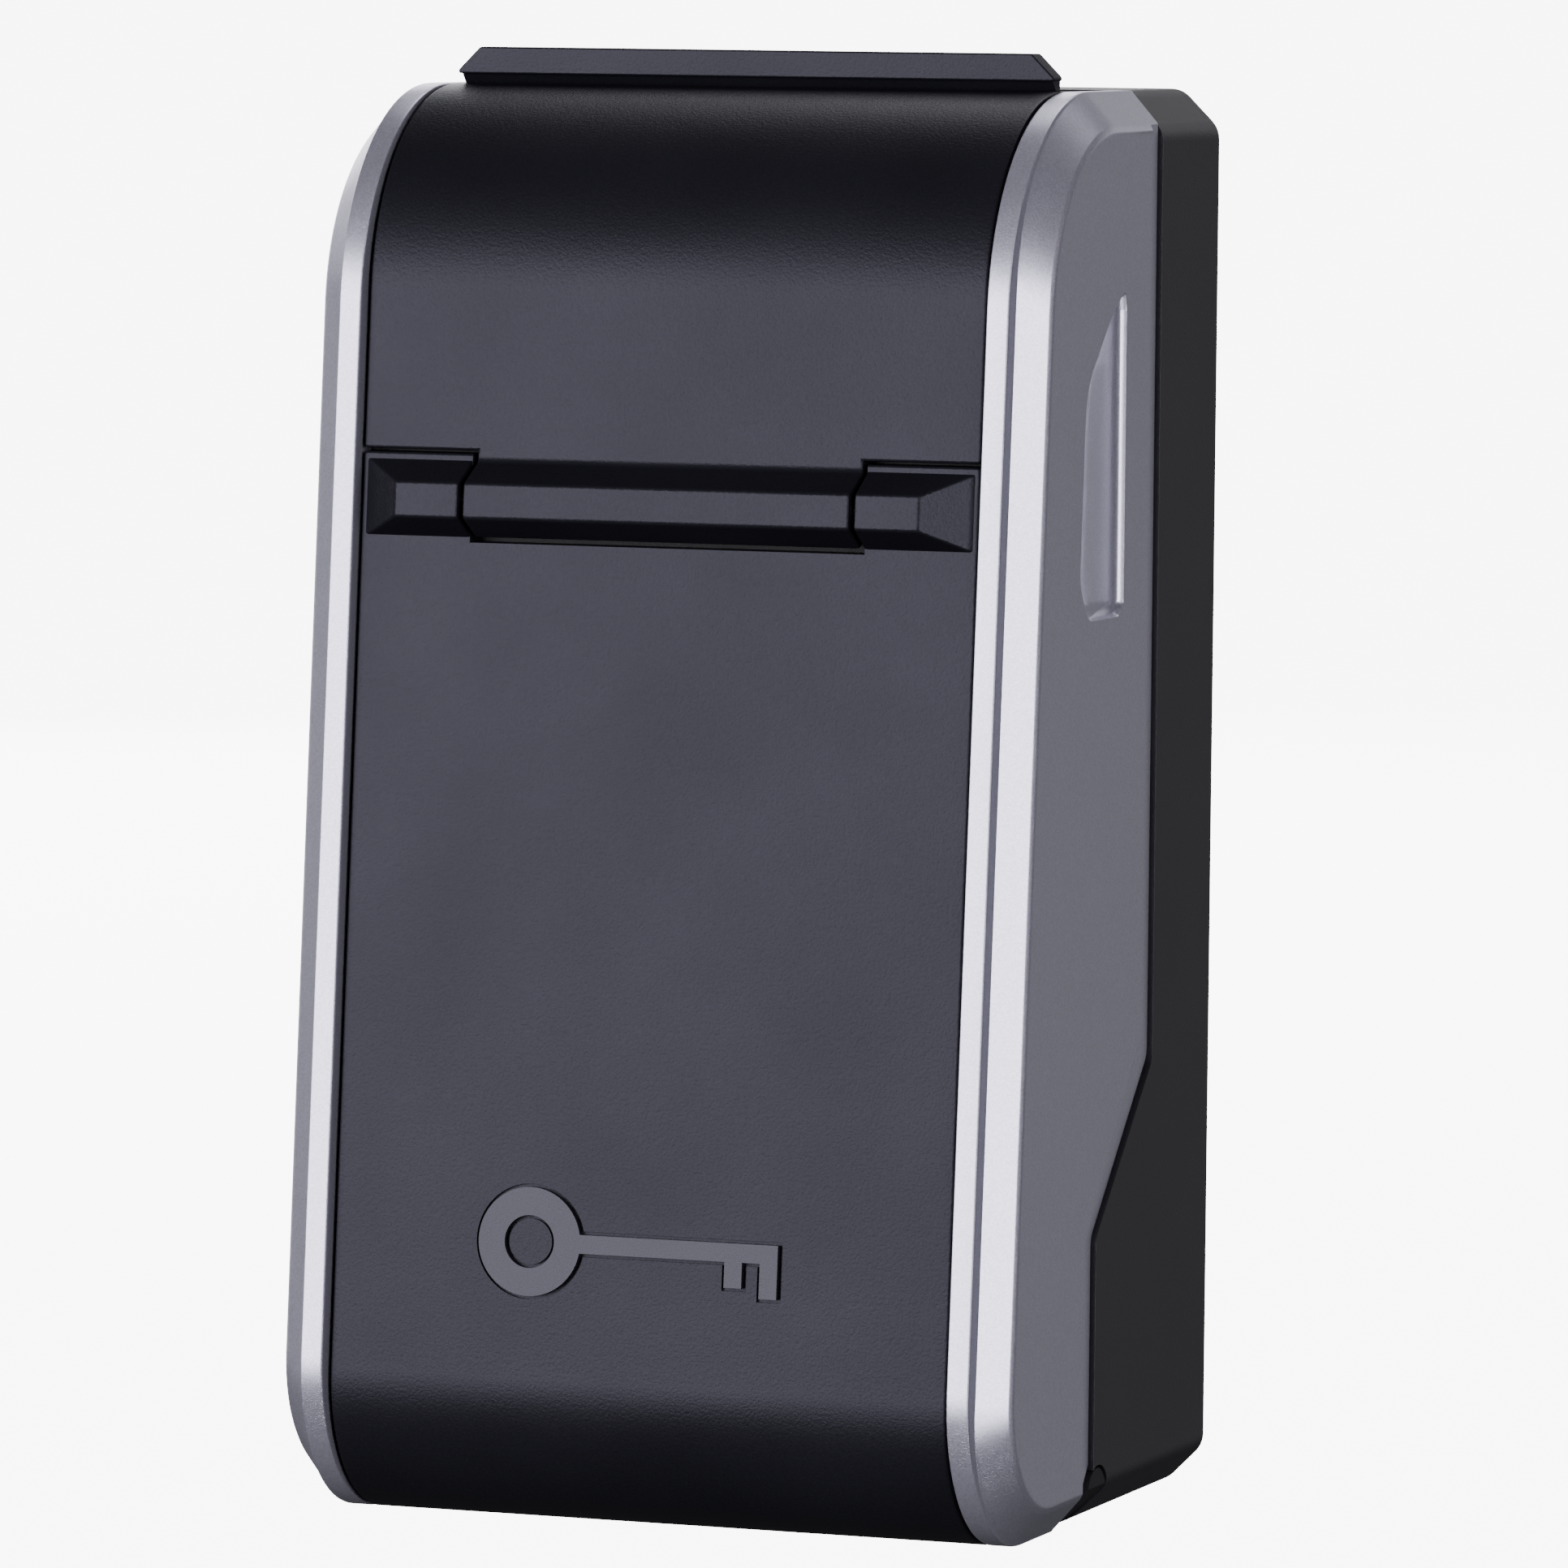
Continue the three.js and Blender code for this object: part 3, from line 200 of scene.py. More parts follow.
# ---- modelling --------------------------------------------------------------------------------
def clear_selection():
    if bpy.context.object and bpy.context.object.mode != "OBJECT":
        bpy.ops.object.mode_set(mode="OBJECT")
    bpy.ops.object.select_all(action="DESELECT")


def take(piece):
    """Makes a piece the only selected one."""
    clear_selection()
    piece.select_set(True)
    bpy.context.view_layer.objects.active = piece
    return piece


def named(name):
    piece = bpy.context.object
    piece.name = piece.data.name = name
    return piece


def loft(name, rings):
    """A closed solid: a flat face on the first ring, extruded from ring to ring."""
    clear_selection()
    bpy.ops.mesh.primitive_circle_add(vertices=len(rings[0]), radius=1, fill_type="NGON")
    piece = named(name)
    for vertex, corner in zip(piece.data.vertices, rings[0]):
        vertex.co = corner
    bpy.ops.object.mode_set(mode="EDIT")
    bpy.ops.mesh.select_all(action="SELECT")
    for before, after in zip(rings, rings[1:]):
        bpy.ops.mesh.extrude_region_move(TRANSFORM_OT_translate={"value": (0, 0, 0)})
        mesh = bmesh.from_edit_mesh(piece.data)
        for vertex in mesh.verts:
            if vertex.select:
                nearest = min(range(len(before)), key=lambda i: (before[i] - vertex.co).length_squared)
                vertex.co = after[nearest]
        bmesh.update_edit_mesh(piece.data)
    face_outwards()
    return piece


def face_outwards():
    bpy.ops.mesh.select_all(action="SELECT")
    bpy.ops.mesh.normals_make_consistent(inside=False)
    bpy.ops.object.mode_set(mode="OBJECT")


def block(name, low, high):
    """A box between two corners."""
    low, high = Vector(low), Vector(high)
    clear_selection()
    bpy.ops.mesh.primitive_cube_add(size=1, location=(low + high) / 2, scale=high - low)
    bpy.ops.object.transform_apply(location=True, rotation=True, scale=True)
    return named(name)


TURNED = {"x": (0, math.pi / 2, 0), "y": (math.pi / 2, 0, 0), "z": (0, 0, 0)}


def rod(name, axis, centre, radius, length, sides=48):
    """A round bar along an axis."""
    clear_selection()
    bpy.ops.mesh.primitive_cylinder_add(
        vertices=sides, radius=radius, depth=length, location=centre, rotation=TURNED[axis])
    bpy.ops.object.transform_apply(location=True, rotation=True, scale=True)
    return named(name)


def apply(piece, kind, **settings):
    """Adds a modifier with these settings and applies it."""
    modifier = piece.modifiers.new(kind.lower(), kind)
    for key, value in settings.items():
        setattr(modifier, key, value)
    take(piece)
    bpy.ops.object.modifier_apply(modifier=modifier.name)
    return piece


def join_or_cut(piece, way, *tools):
    for tool in tools:
        apply(piece, "BOOLEAN", operation=way, solver="EXACT", object=tool)
        bpy.data.objects.remove(tool)
    return piece


def cut(piece, *tools):
    return join_or_cut(piece, "DIFFERENCE", *tools)


def join(piece, *tools):
    return join_or_cut(piece, "UNION", *tools)


def soften(piece, width=EDGE, segments=3, sharper_than=28):
    """Rounds every edge sharper than an angle."""
    return apply(piece, "BEVEL", width=width, segments=segments, limit_method="ANGLE",
                 angle_limit=math.radians(sharper_than), miter_outer="MITER_ARC")


def soften_where(piece, chosen, width, segments=3):
    """Rounds only the sharp edges that `chosen` picks by their two ends."""
    take(piece)
    bpy.ops.object.mode_set(mode="EDIT")
    bpy.ops.mesh.select_mode(type="EDGE")
    bpy.ops.mesh.select_all(action="DESELECT")
    mesh = bmesh.from_edit_mesh(piece.data)
    for edge in mesh.edges:
        sharp = len(edge.link_faces) == 2 and edge.calc_face_angle() > math.radians(20)
        edge.select_set(sharp and chosen(edge.verts[0].co, edge.verts[1].co))
    bmesh.update_edit_mesh(piece.data)
    bpy.ops.mesh.bevel(offset=width, segments=segments, affect="EDGES", clamp_overlap=True)
    bpy.ops.mesh.select_mode(type="VERT")
    bpy.ops.object.mode_set(mode="OBJECT")
    return piece


def place(piece, location=(0, 0, 0), turn=(0, 0, 0)):
    """Turns and moves a piece, and puts that into its mesh."""
    take(piece)
    piece.rotation_euler = turn
    piece.location = location
    bpy.ops.object.transform_apply(location=True, rotation=True, scale=True)
    return piece


def copy_of(piece, name):
    """A copy with its own mesh."""
    take(piece)
    bpy.ops.object.duplicate(linked=False)
    return named(name)


def mirrored(piece, name):
    """The other hand of a piece."""
    other = copy_of(piece, name)
    other.scale = (-1, 1, 1)
    bpy.ops.object.transform_apply(location=False, rotation=False, scale=True)
    bpy.ops.object.mode_set(mode="EDIT")
    face_outwards()
    return other


def dressed(node, name, width=0.25, segments=2):
    """A copy of a CAD node, merged into clean faces, with its edges rounded."""
    piece = bpy.data.objects.new(name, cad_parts[node].data.copy())
    bpy.context.scene.collection.objects.link(piece)
    piece.data.name = name
    piece.data.materials.clear()
    take(piece)
    piece.scale = (1 / MM,) * 3
    bpy.ops.object.transform_apply(location=False, rotation=False, scale=True)
    bpy.ops.object.mode_set(mode="EDIT")
    bpy.ops.mesh.select_all(action="SELECT")
    bpy.ops.mesh.remove_doubles(threshold=0.002)
    bpy.ops.mesh.customdata_custom_splitnormals_clear()
    bpy.ops.mesh.dissolve_limited(angle_limit=math.radians(0.6))
    bpy.ops.object.mode_set(mode="OBJECT")
    for edge in piece.data.edges:
        edge.use_edge_sharp = False
    if width:
        soften(piece, width, segments, 40)
    return piece


def merged(pieces):
    """Several pieces put into the first one's mesh."""
    take(pieces[0])
    for piece in pieces[1:]:
        piece.select_set(True)
    bpy.ops.object.join()
    return bpy.context.object


def clean(piece):
    """Merges doubled points, takes out faces with no area and closes slits."""
    take(piece)
    bpy.ops.object.mode_set(mode="EDIT")
    bpy.ops.mesh.select_all(action="SELECT")
    bpy.ops.mesh.remove_doubles(threshold=0.001)
    bpy.ops.mesh.dissolve_degenerate(threshold=0.001)
    bpy.ops.mesh.delete_loose()
    bpy.ops.mesh.select_all(action="SELECT")
    bpy.ops.mesh.fill_holes(sides=4)
    bpy.ops.object.mode_set(mode="OBJECT")
    return piece


def hand_over(piece, body, slot, material, *nodes, smooth=35):
    """Brings a finished piece to metres, shades it, gives it its finish, puts it in its body and hides the
    CAD nodes it stands in for. The slot is not used.
    """
    take(piece)
    piece.scale = (MM,) * 3
    bpy.ops.object.transform_apply(location=False, rotation=False, scale=True)
    bpy.ops.object.shade_smooth_by_angle(angle=math.radians(smooth))
    apply(piece, "WEIGHTED_NORMAL", keep_sharp=True, weight=100)
    piece.data.materials.clear()
    piece.data.materials.append(material)
    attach(piece, body)
    if nodes:
        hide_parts(*nodes)
    return piece


# ---- finishes ---------------------------------------------------------------------------------
def wire(tree, source, output, target, socket):
    tree.links.new(source.outputs[output], target.inputs[socket])


def node(tree, kind, settings=None, **values):
    made = tree.nodes.new(kind)
    for key, value in (settings or {}).items():
        setattr(made, key, value)
    for key, value in values.items():
        made.inputs[key.replace("_", " ")].default_value = value
    return made


def new_group(name, inputs, outputs):
    tree = bpy.data.node_groups.new(name, "ShaderNodeTree")
    for label, kind, value in inputs:
        tree.interface.new_socket(label, in_out="INPUT", socket_type=kind).default_value = value
    for label, kind in outputs:
        tree.interface.new_socket(label, in_out="OUTPUT", socket_type=kind)
    return tree, tree.nodes.new("NodeGroupInput"), tree.nodes.new("NodeGroupOutput")


FLOAT, COLOUR, VECTOR = "NodeSocketFloat", "NodeSocketColor", "NodeSocketVector"


def make_grain_group():
    """Fine moulded or sprayed grain over a slow unevenness: a colour, a roughness and a normal."""
    tree, given, out = new_group("fine_grain", [
        ("Colour", COLOUR, (0.5, 0.5, 0.5, 1)), ("Colour Spread", FLOAT, 0.1),
        ("Roughness", FLOAT, 0.5), ("Roughness Spread", FLOAT, 0.05),
        ("Grain Scale", FLOAT, 4000), ("Grain Depth", FLOAT, 0.2), ("Cloud Scale", FLOAT, 40),
    ], [("Colour", COLOUR), ("Roughness", FLOAT), ("Normal", VECTOR)])
    place_on = node(tree, "ShaderNodeTexCoord")
    grain = node(tree, "ShaderNodeTexNoise", Detail=2.0, Roughness=0.6)
    cloud = node(tree, "ShaderNodeTexNoise", Detail=3.0, Roughness=0.5)
    bump = node(tree, "ShaderNodeBump", Distance=0.0001)
    for noise, label in ((grain, "Grain Scale"), (cloud, "Cloud Scale")):
        wire(tree, place_on, "Object", noise, "Vector")
        wire(tree, given, label, noise, "Scale")
    wire(tree, grain, "Fac", bump, "Height")
    wire(tree, given, "Grain Depth", bump, "Strength")
    both = node(tree, "ShaderNodeMath", {"operation": "ADD"})
    wire(tree, grain, "Fac", both, 0)
    wire(tree, cloud, "Fac", both, 1)
    centred = node(tree, "ShaderNodeMath", {"operation": "SUBTRACT"})
    centred.inputs[1].default_value = 1.0
    wire(tree, both, 0, centred, 0)
    for spread, base, result in (("Colour Spread", "Colour", "Colour"),
                                 ("Roughness Spread", "Roughness", "Roughness")):
        change = node(tree, "ShaderNodeMath", {"operation": "MULTIPLY"})
        wire(tree, centred, 0, change, 0)
        wire(tree, given, spread, change, 1)
        if result == "Roughness":
            total = node(tree, "ShaderNodeMath", {"operation": "ADD", "use_clamp": True})
            wire(tree, given, base, total, 0)
            wire(tree, change, 0, total, 1)
            wire(tree, total, 0, out, result)
            continue
        factor = node(tree, "ShaderNodeMath", {"operation": "ADD"})
        factor.inputs[1].default_value = 1.0
        wire(tree, change, 0, factor, 0)
        tint = node(tree, "ShaderNodeVectorMath", {"operation": "SCALE"})
        wire(tree, given, base, tint, 0)
        wire(tree, factor, 0, tint, "Scale")
        wire(tree, tint, 0, out, result)
    wire(tree, bump, "Normal", out, "Normal")
    return tree


def make_flake_group():
    """Metal flake under paint: small cells, each with its own tilt and brightness."""
    tree, given, out = new_group("metal_flake", [
        ("Colour", COLOUR, (0.6, 0.6, 0.62, 1)), ("Spread", FLOAT, 0.2),
        ("Flake Scale", FLOAT, 5000), ("Tilt", FLOAT, 0.2),
    ], [("Colour", COLOUR), ("Normal", VECTOR)])
    place_on = node(tree, "ShaderNodeTexCoord")
    cells = node(tree, "ShaderNodeTexVoronoi")
    wire(tree, place_on, "Object", cells, "Vector")
    wire(tree, given, "Flake Scale", cells, "Scale")
    lightness = node(tree, "ShaderNodeSeparateColor")
    wire(tree, cells, "Color", lightness, 0)
    span_to = node(tree, "ShaderNodeMath", {"operation": "MULTIPLY_ADD"})
    wire(tree, lightness, 0, span_to, 0)
    wire(tree, given, "Spread", span_to, 1)
    span_to.inputs[2].default_value = 0.9
    tint = node(tree, "ShaderNodeVectorMath", {"operation": "SCALE"})
    wire(tree, given, "Colour", tint, 0)
    wire(tree, span_to, 0, tint, "Scale")
    wire(tree, tint, 0, out, "Colour")
    bump = node(tree, "ShaderNodeBump", Distance=0.0001)
    wire(tree, lightness, 1, bump, "Height")
    wire(tree, given, "Tilt", bump, "Strength")
    wire(tree, bump, "Normal", out, "Normal")
    return tree


def make_brush_group():
    """Fine scratches drawn along one axis: a roughness and a normal."""
    tree, given, out = new_group("drawn_lines", [
        ("Stretch", VECTOR, (1, 1, 40)), ("Line Scale", FLOAT, 1500), ("Depth", FLOAT, 0.15),
        ("Roughness", FLOAT, 0.3), ("Roughness Spread", FLOAT, 0.15),
    ], [("Roughness", FLOAT), ("Normal", VECTOR)])
    place_on = node(tree, "ShaderNodeTexCoord")
    squeeze = node(tree, "ShaderNodeVectorMath", {"operation": "DIVIDE"})
    wire(tree, place_on, "Object", squeeze, 0)
    wire(tree, given, "Stretch", squeeze, 1)
    lines = node(tree, "ShaderNodeTexNoise", Detail=3.0, Roughness=0.65)
    wire(tree, squeeze, 0, lines, "Vector")
    wire(tree, given, "Line Scale", lines, "Scale")
    bump = node(tree, "ShaderNodeBump", Distance=0.0001)
    wire(tree, lines, "Fac", bump, "Height")
    wire(tree, given, "Depth", bump, "Strength")
    rough = node(tree, "ShaderNodeMath", {"operation": "MULTIPLY_ADD", "use_clamp": True})
    wire(tree, lines, "Fac", rough, 0)
    wire(tree, given, "Roughness Spread", rough, 1)
    wire(tree, given, "Roughness", rough, 2)
    wire(tree, rough, 0, out, "Roughness")
    wire(tree, bump, "Normal", out, "Normal")
    return tree


GRAIN = make_grain_group()
FLAKE = make_flake_group()
BRUSH = make_brush_group()


def new_finish(name, **shader):
    """A material with its Principled shader, and a helper to place a group in it."""
    material = bpy.data.materials.new(name)
    material.use_nodes = True
    tree = material.node_tree
    principled = tree.nodes["Principled BSDF"]
    for key, value in shader.items():
        principled.inputs[key.replace("_", " ")].default_value = value

    def use(group, links, **values):
        placed = tree.nodes.new("ShaderNodeGroup")
        placed.node_tree = group
        for key, value in values.items():
            placed.inputs[key.replace("_", " ")].default_value = value
        for output, socket in links.items():
            wire(tree, placed, output, principled, socket)
        return placed

    return material, use


def grained(name, colour, roughness, colour_spread=0.12, roughness_spread=0.06,
            scale=4500, depth=0.22, cloud=45, **shader):
    """Moulded plastic, powder coat, rubber or cast metal."""
    material, use = new_finish(name, **shader)
    use(GRAIN, {"Colour": "Base Color", "Roughness": "Roughness", "Normal": "Normal"},
        Colour=(*colour, 1), Roughness=roughness, Colour_Spread=colour_spread,
        Roughness_Spread=roughness_spread, Grain_Scale=scale, Grain_Depth=depth, Cloud_Scale=cloud)
    return material


def flaked(name, colour, roughness, **shader):
    """Silver paint with metal flake."""
    material, use = new_finish(name, Roughness=roughness, **shader)
    use(FLAKE, {"Colour": "Base Color", "Normal": "Normal"},
        Colour=(*colour, 1), Spread=0.22, Flake_Scale=5200.0, Tilt=0.35)
    return material


def drawn(name, colour, roughness, stretch=(1, 1, 40), spread=0.15, **shader):
    """Bare metal with drawn or turned lines."""
    material, use = new_finish(name, Base_Color=(*colour, 1), Metallic=1.0, **shader)
    use(BRUSH, {"Roughness": "Roughness", "Normal": "Normal"},
        Stretch=stretch, Roughness=roughness, Roughness_Spread=spread)
    return material


def make_finishes():
    return {
        "housing": grained("black_moulding", (0.0115, 0.011, 0.0145), 0.46, scale=3000, depth=0.35,
                           Specular_IOR_Level=0.6),
        "panel": grained("black_powder_coat", (0.0065, 0.0065, 0.0088), 0.42, 0.5, 0.1, 2600, 0.45,
                         Specular_IOR_Level=0.17, Specular_Tint=(1, 0.97, 1.2, 1)),
        # The key's base colour is lighter than the panel's: a painted highlight on its raised faces. Its
        # lower roughness and higher specular level are a glossier finish.
        "key": grained("black_key_painted_highlight", (0.010, 0.010, 0.013), 0.38, scale=5200, depth=0.15,
                       Specular_IOR_Level=0.3, Specular_Tint=(1, 0.97, 1.15, 1)),
        "silver": flaked("silver_flake_paint", (0.45, 0.44, 0.53), 0.34, Metallic=0.75,
                         Coat_Weight=0.15, Coat_Roughness=0.2),
        "frame": grained("black_inner_moulding", (0.012, 0.012, 0.014), 0.55, scale=2600, depth=0.3,
                         Specular_IOR_Level=0.3),
        "face": drawn("satin_nickel_face", (0.17, 0.17, 0.18), 0.42, (60, 1, 1)),
        "dial": drawn("satin_nickel_dial", (0.42, 0.42, 0.44), 0.30, (1, 30, 30)),
        "zinc": grained("cast_zinc", (0.28, 0.28, 0.275), 0.48, 0.18, 0.12, 1600, 0.35, 90, Metallic=0.95),
        "steel": drawn("bright_steel", (0.55, 0.55, 0.57), 0.18, (40, 40, 1)),
        "spring": drawn("spring_steel", (0.40, 0.40, 0.42), 0.24, (1, 1, 20)),
        "brass": drawn("turned_brass", (0.56, 0.40, 0.16), 0.24, (30, 1, 1)),
        "rubber": grained("black_rubber", (0.012, 0.012, 0.012), 0.78, scale=2400, depth=0.35),
        "mat": grained("grey_rubber_mat", (0.045, 0.045, 0.05), 0.85, 0.4, 0.05, 1500, 0.6, 60),
        "button": grained("black_button", (0.008, 0.008, 0.009), 0.45, scale=4200, depth=0.12,
                          Specular_IOR_Level=0.15),
        "ink": grained("black_ink", (0.008, 0.008, 0.009), 0.6, scale=3000, depth=0.2),
    }


FINISH = make_finishes()


# ---- housing ----------------------------------------------------------------------------------
def housing_shell():
    side = rounded([
        (0, UNDER), (HINGE.y + BARREL_RADIUS / 3, UNDER), (-FOOT_DEPTH, HINGE.z), (-FOOT_DEPTH, FOOT_TOP),
        (-HOUSING_DEPTH, SLANT_TOP), (-HOUSING_DEPTH, TOP), (0, TOP),
    ], [0, 0, 0, SLANT_ROUNDING, SLANT_ROUNDING, 0, 0])
    shell = loft("housing_shell", [across_x(-HALF, side), across_x(HALF, side)])
    outer = cornered(HALF, UNDER, TOP, CORNER, CORNER_ROUNDING)
    inner_corner = CORNER - HOUSING_WALL * (2 - math.sqrt(2))
    inner = cornered(HALF - HOUSING_WALL, UNDER + HOUSING_WALL, TOP - HOUSING_WALL, inner_corner, 1.2)
    front = -FOOT_DEPTH - 2
    join_or_cut(shell, "INTERSECT", loft("tool", [across_y(front, outer), across_y(1, outer)]))
    cut(shell, loft("tool", [across_y(front - 1, inner), across_y(-HOUSING_WALL, inner)]))
    soften(shell, 0.5, 3)
    cut(shell, rod("tool", "x", HINGE, BARREL_RADIUS + GAP, 4 * HALF))
    knuckle = rod("tool", "x", HINGE, BARREL_RADIUS, 2 * KNUCKLE_HALF)
    soften(knuckle, 0.4, 2, 60)
    join(shell, knuckle, block("tool", (-KNUCKLE_HALF + 0.4, HINGE.y, UNDER + 0.6),
                               (KNUCKLE_HALF - 0.4, HINGE.y + 2 * BARREL_RADIUS, HINGE.z)))
    cut(shell, rod("tool", "x", HINGE, 1.65, 4 * HALF, 24))
    for x in (-MOUNT["x"], MOUNT["x"]):
        for z in (UNDER + MOUNT["low"], UNDER + MOUNT["high"]):
            cut(shell, rod("tool", "y", (x, -1.5, z), MOUNT["radius"], 8, 32),
                rod("tool", "y", (x, -HOUSING_WALL, z), MOUNT["inner_rim"], 1.6, 32),
                rod("tool", "y", (x, 0, z), MOUNT["outer_rim"], 1.0, 32))
    for screw in ("strike_screw_1", "strike_screw_2"):
        low, high = span(screw)
        cut(shell, rod("tool", "z", ((low.x + high.x) / 2, (low.y + high.y) / 2, high.z - 2), 1.5, 5.2, 20))
    return hand_over(shell, "housing", "housing_black", FINISH["housing"], "wall_housing")


# ---- panel and its ears -----------------------------------------------------------------------
def panel_ring(x, draw):
    """One cross-section of the lower panel, its outside drawn in to round the ends."""
    inset, back = SKIN_INSET + draw, SKIN_INSET + PANEL_THICKNESS
    low, top = UNDER + draw, COVER_BOTTOM - GAP - draw
    inner_low = UNDER + PANEL_THICKNESS
    corners = [
        (front_at(top, inset), top), (front_at(low, inset), low), (FOOT_REAR, low),
        (FOOT_REAR, inner_low), (front_at(inner_low, back), inner_low), (front_at(top, back), top),
    ]
    radii = [0.4, BOTTOM_RADIUS - inset, 0, 0, BOTTOM_RADIUS - back, 0]
    return across_x(x, rounded(corners, radii, 4))


def end_rings(ring, low, high, edge=EDGE):
    """Rings from one end to the other of a piece, with both ends rounded."""
    steps = [(0, 1), (0.3, 0.3), (1, 0)]
    return ([ring(low + edge * a, edge * b) for a, b in steps]
            + [ring(high - edge * a, edge * b) for a, b in reversed(steps)])


def ridge_outline(draw):
    """The hinge ridge seen from the side: foot, face, face, foot."""
    foot, face, proud = RIDGE_FOOT - draw, RIDGE_FACE - draw / 2, RIDGE_PROUD - draw
    return [
        (front_at(RIDGE_Z + foot, SKIN_INSET + draw), RIDGE_Z + foot),
        (front_at(RIDGE_Z + face, -proud), RIDGE_Z + face),
        (front_at(RIDGE_Z - face, -proud), RIDGE_Z - face),
        (front_at(RIDGE_Z - foot, SKIN_INSET + draw), RIDGE_Z - foot),
    ]

def ear(side):
    """One outer end of the hinge ridge, with a hipped slope down to the rail."""
    sunk = 1.0
    spread = sunk * (RIDGE_FOOT - RIDGE_FACE) / (RIDGE_PROUD + SKIN_INSET)

    def ring(x, along_slope, draw=0.0):
        """The ridge at x; along_slope goes from 0 on the flat face to 1 where the slope meets the panel."""
        face = RIDGE_FACE + (RIDGE_FOOT - RIDGE_FACE) * along_slope - draw / 2
        proud = RIDGE_PROUD - (RIDGE_PROUD + SKIN_INSET) * along_slope - draw
        foot = RIDGE_FOOT + spread
        outline = [
            (front_at(RIDGE_Z + foot, SKIN_INSET + sunk), RIDGE_Z + foot),
            (front_at(RIDGE_Z + face, -proud), RIDGE_Z + face),
            (front_at(RIDGE_Z - face, -proud), RIDGE_Z - face),
            (front_at(RIDGE_Z - foot, SKIN_INSET + sunk), RIDGE_Z - foot),
        ]
        return across_x(side * x, rounded(outline, [0, 0.6, 0.6, 0], 3))

    flat = SKIN_HALF - RIDGE_END
    return loft("ear", [
        ring(EAR_INNER + 0.05, 0, 0.4), ring(EAR_INNER + 0.15, 0, 0.12), ring(EAR_INNER + 0.45, 0),
        ring(flat - 0.3, 0), ring(flat + 0.05, 0.02), ring(flat + 0.4, 0.06),
        ring(SKIN_HALF - EDGE - 0.1, 1.03),
    ])


def lower_panel():
    panel = loft("front_panel", end_rings(panel_ring, -SKIN_HALF, SKIN_HALF))
    window_top = COVER_BOTTOM + 5
    cut(panel, block("tool", (-EAR_INNER, -90, PANEL_TOP), (EAR_INNER, -20, window_top)))
    front_plane = SKIN_INSET + 0.2

    def window_edge(a, b):
        on_front = all(p.y < front_at(p.z, front_plane) for p in (a, b))
        beside = all(abs(abs(p.x) - EAR_INNER) < 0.01 for p in (a, b))
        below = all(abs(p.z - PANEL_TOP) < 0.01 and abs(p.x) < EAR_INNER + 0.01 for p in (a, b))
        return on_front and (beside or below)

    soften_where(panel, window_edge, 0.35)
    cut(panel, on_panel(key_blank("tool", 1, 0.55, 0.45)))
    join(panel, ear(1), ear(-1))
    cut(panel, rod("tool", "x", (0, PIN_Y, RIDGE_Z), 1.15, PIN_HIGH.x - PIN_LOW.x + 0.6, 20))
    for screw in [f"panel_screw_{i}" for i in range(1, 5)]:
        low, high = span(screw)
        middle = (low + high) / 2
        cut(panel, rod("tool", "y", (middle.x, low.y + 1.2, middle.z), 1.5, 4, 20))
    return hand_over(clean(panel), "door", "panel_black", FINISH["panel"], "lower_panel")


KEY = {"x": -15.0, "z": 38.0, "ring": 7.0, "hole": 3.4, "shaft": 34.0, "half": 1.2, "tooth": 4.5,
       "proud": 0.5}


def key_blank(name, proud, deep, grow=0.0):
    """The outline of a plain key as a solid at the origin, `grow` larger all round."""
    half, end, tooth, middle = KEY["half"] + grow, KEY["shaft"] + grow, KEY["tooth"], (deep - proud) / 2
    key = rod(name, "y", (0, middle, 0), KEY["ring"] + grow, deep + proud, 64)
    join(key, block("tool", (KEY["ring"] - 1, -proud, -half), (end, deep, half)))
    for back, drop in ((2, half), (6, 0)):
        left = KEY["shaft"] - back * KEY["half"] - grow
        join(key, block("tool", (left, -proud, -tooth - max(drop, grow)),
                        (left + 2 * half, deep, 0.2)))
    return cut(key, rod("tool", "y", (0, middle, 0), KEY["hole"] - grow, 4, 48))


def on_panel(piece):
    """Lays a piece made at the origin on the leaning face, where the key goes."""
    z = UNDER + KEY["z"]
    return place(piece, (KEY["x"], front_at(z, SKIN_INSET), z), (-LEAN, 0, 0))


def raised_key():
    """A plain raised key low on the panel."""
    key = key_blank("raised_key", KEY["proud"], 1.1)
    soften(key, 0.18, 3, 40)
    # The key's finish is the panel black with a lighter base colour, a painted highlight on its raised faces.
    return hand_over(on_panel(key), "door", "panel_black", FINISH["key"])


# ---- weather cover ----------------------------------------------------------------------------
def cover_rear():
    """Where the cover's level top ends, towards the wall."""
    return span("weather_cover")[1].y


def cover_ring(x, draw):
    inset, back = SKIN_INSET + draw, SKIN_INSET + COVER_THICKNESS
    low, high, under = COVER_BOTTOM + draw, TOP - draw, TOP - COVER_THICKNESS
    rear = cover_rear()
    corners = [
        (front_at(low, inset), low), (front_at(low, back), low), (front_at(under, back), under),
        (rear, under), (rear, high), (front_at(high, inset), high),
    ]
    radius = TOP_RADIUS - SKIN_INSET
    return across_x(x, rounded(corners, [0.4, 0, radius - COVER_THICKNESS, 0, 0, radius - draw], 6))


def tongue_ring(x, draw):
    """The middle knuckle of the cover, round the hinge pin."""
    low = COVER_BOTTOM + 1.0
    back_y = PIN_Y + 3.2
    corners = [
        (front_at(low, SKIN_INSET + draw), low), *ridge_outline(draw), (PIN_Y + 1.4, RIDGE_Z - 4),
        (back_y - 0.5, RIDGE_Z - 2), (back_y, RIDGE_Z), (front_at(low, SKIN_INSET + COVER_THICKNESS), low),
    ]
    return across_x(x, rounded(corners, [0, 1.2, 0.7, 0.7, 0.4, 0.8, 0.8, 0.8, 0], 4))


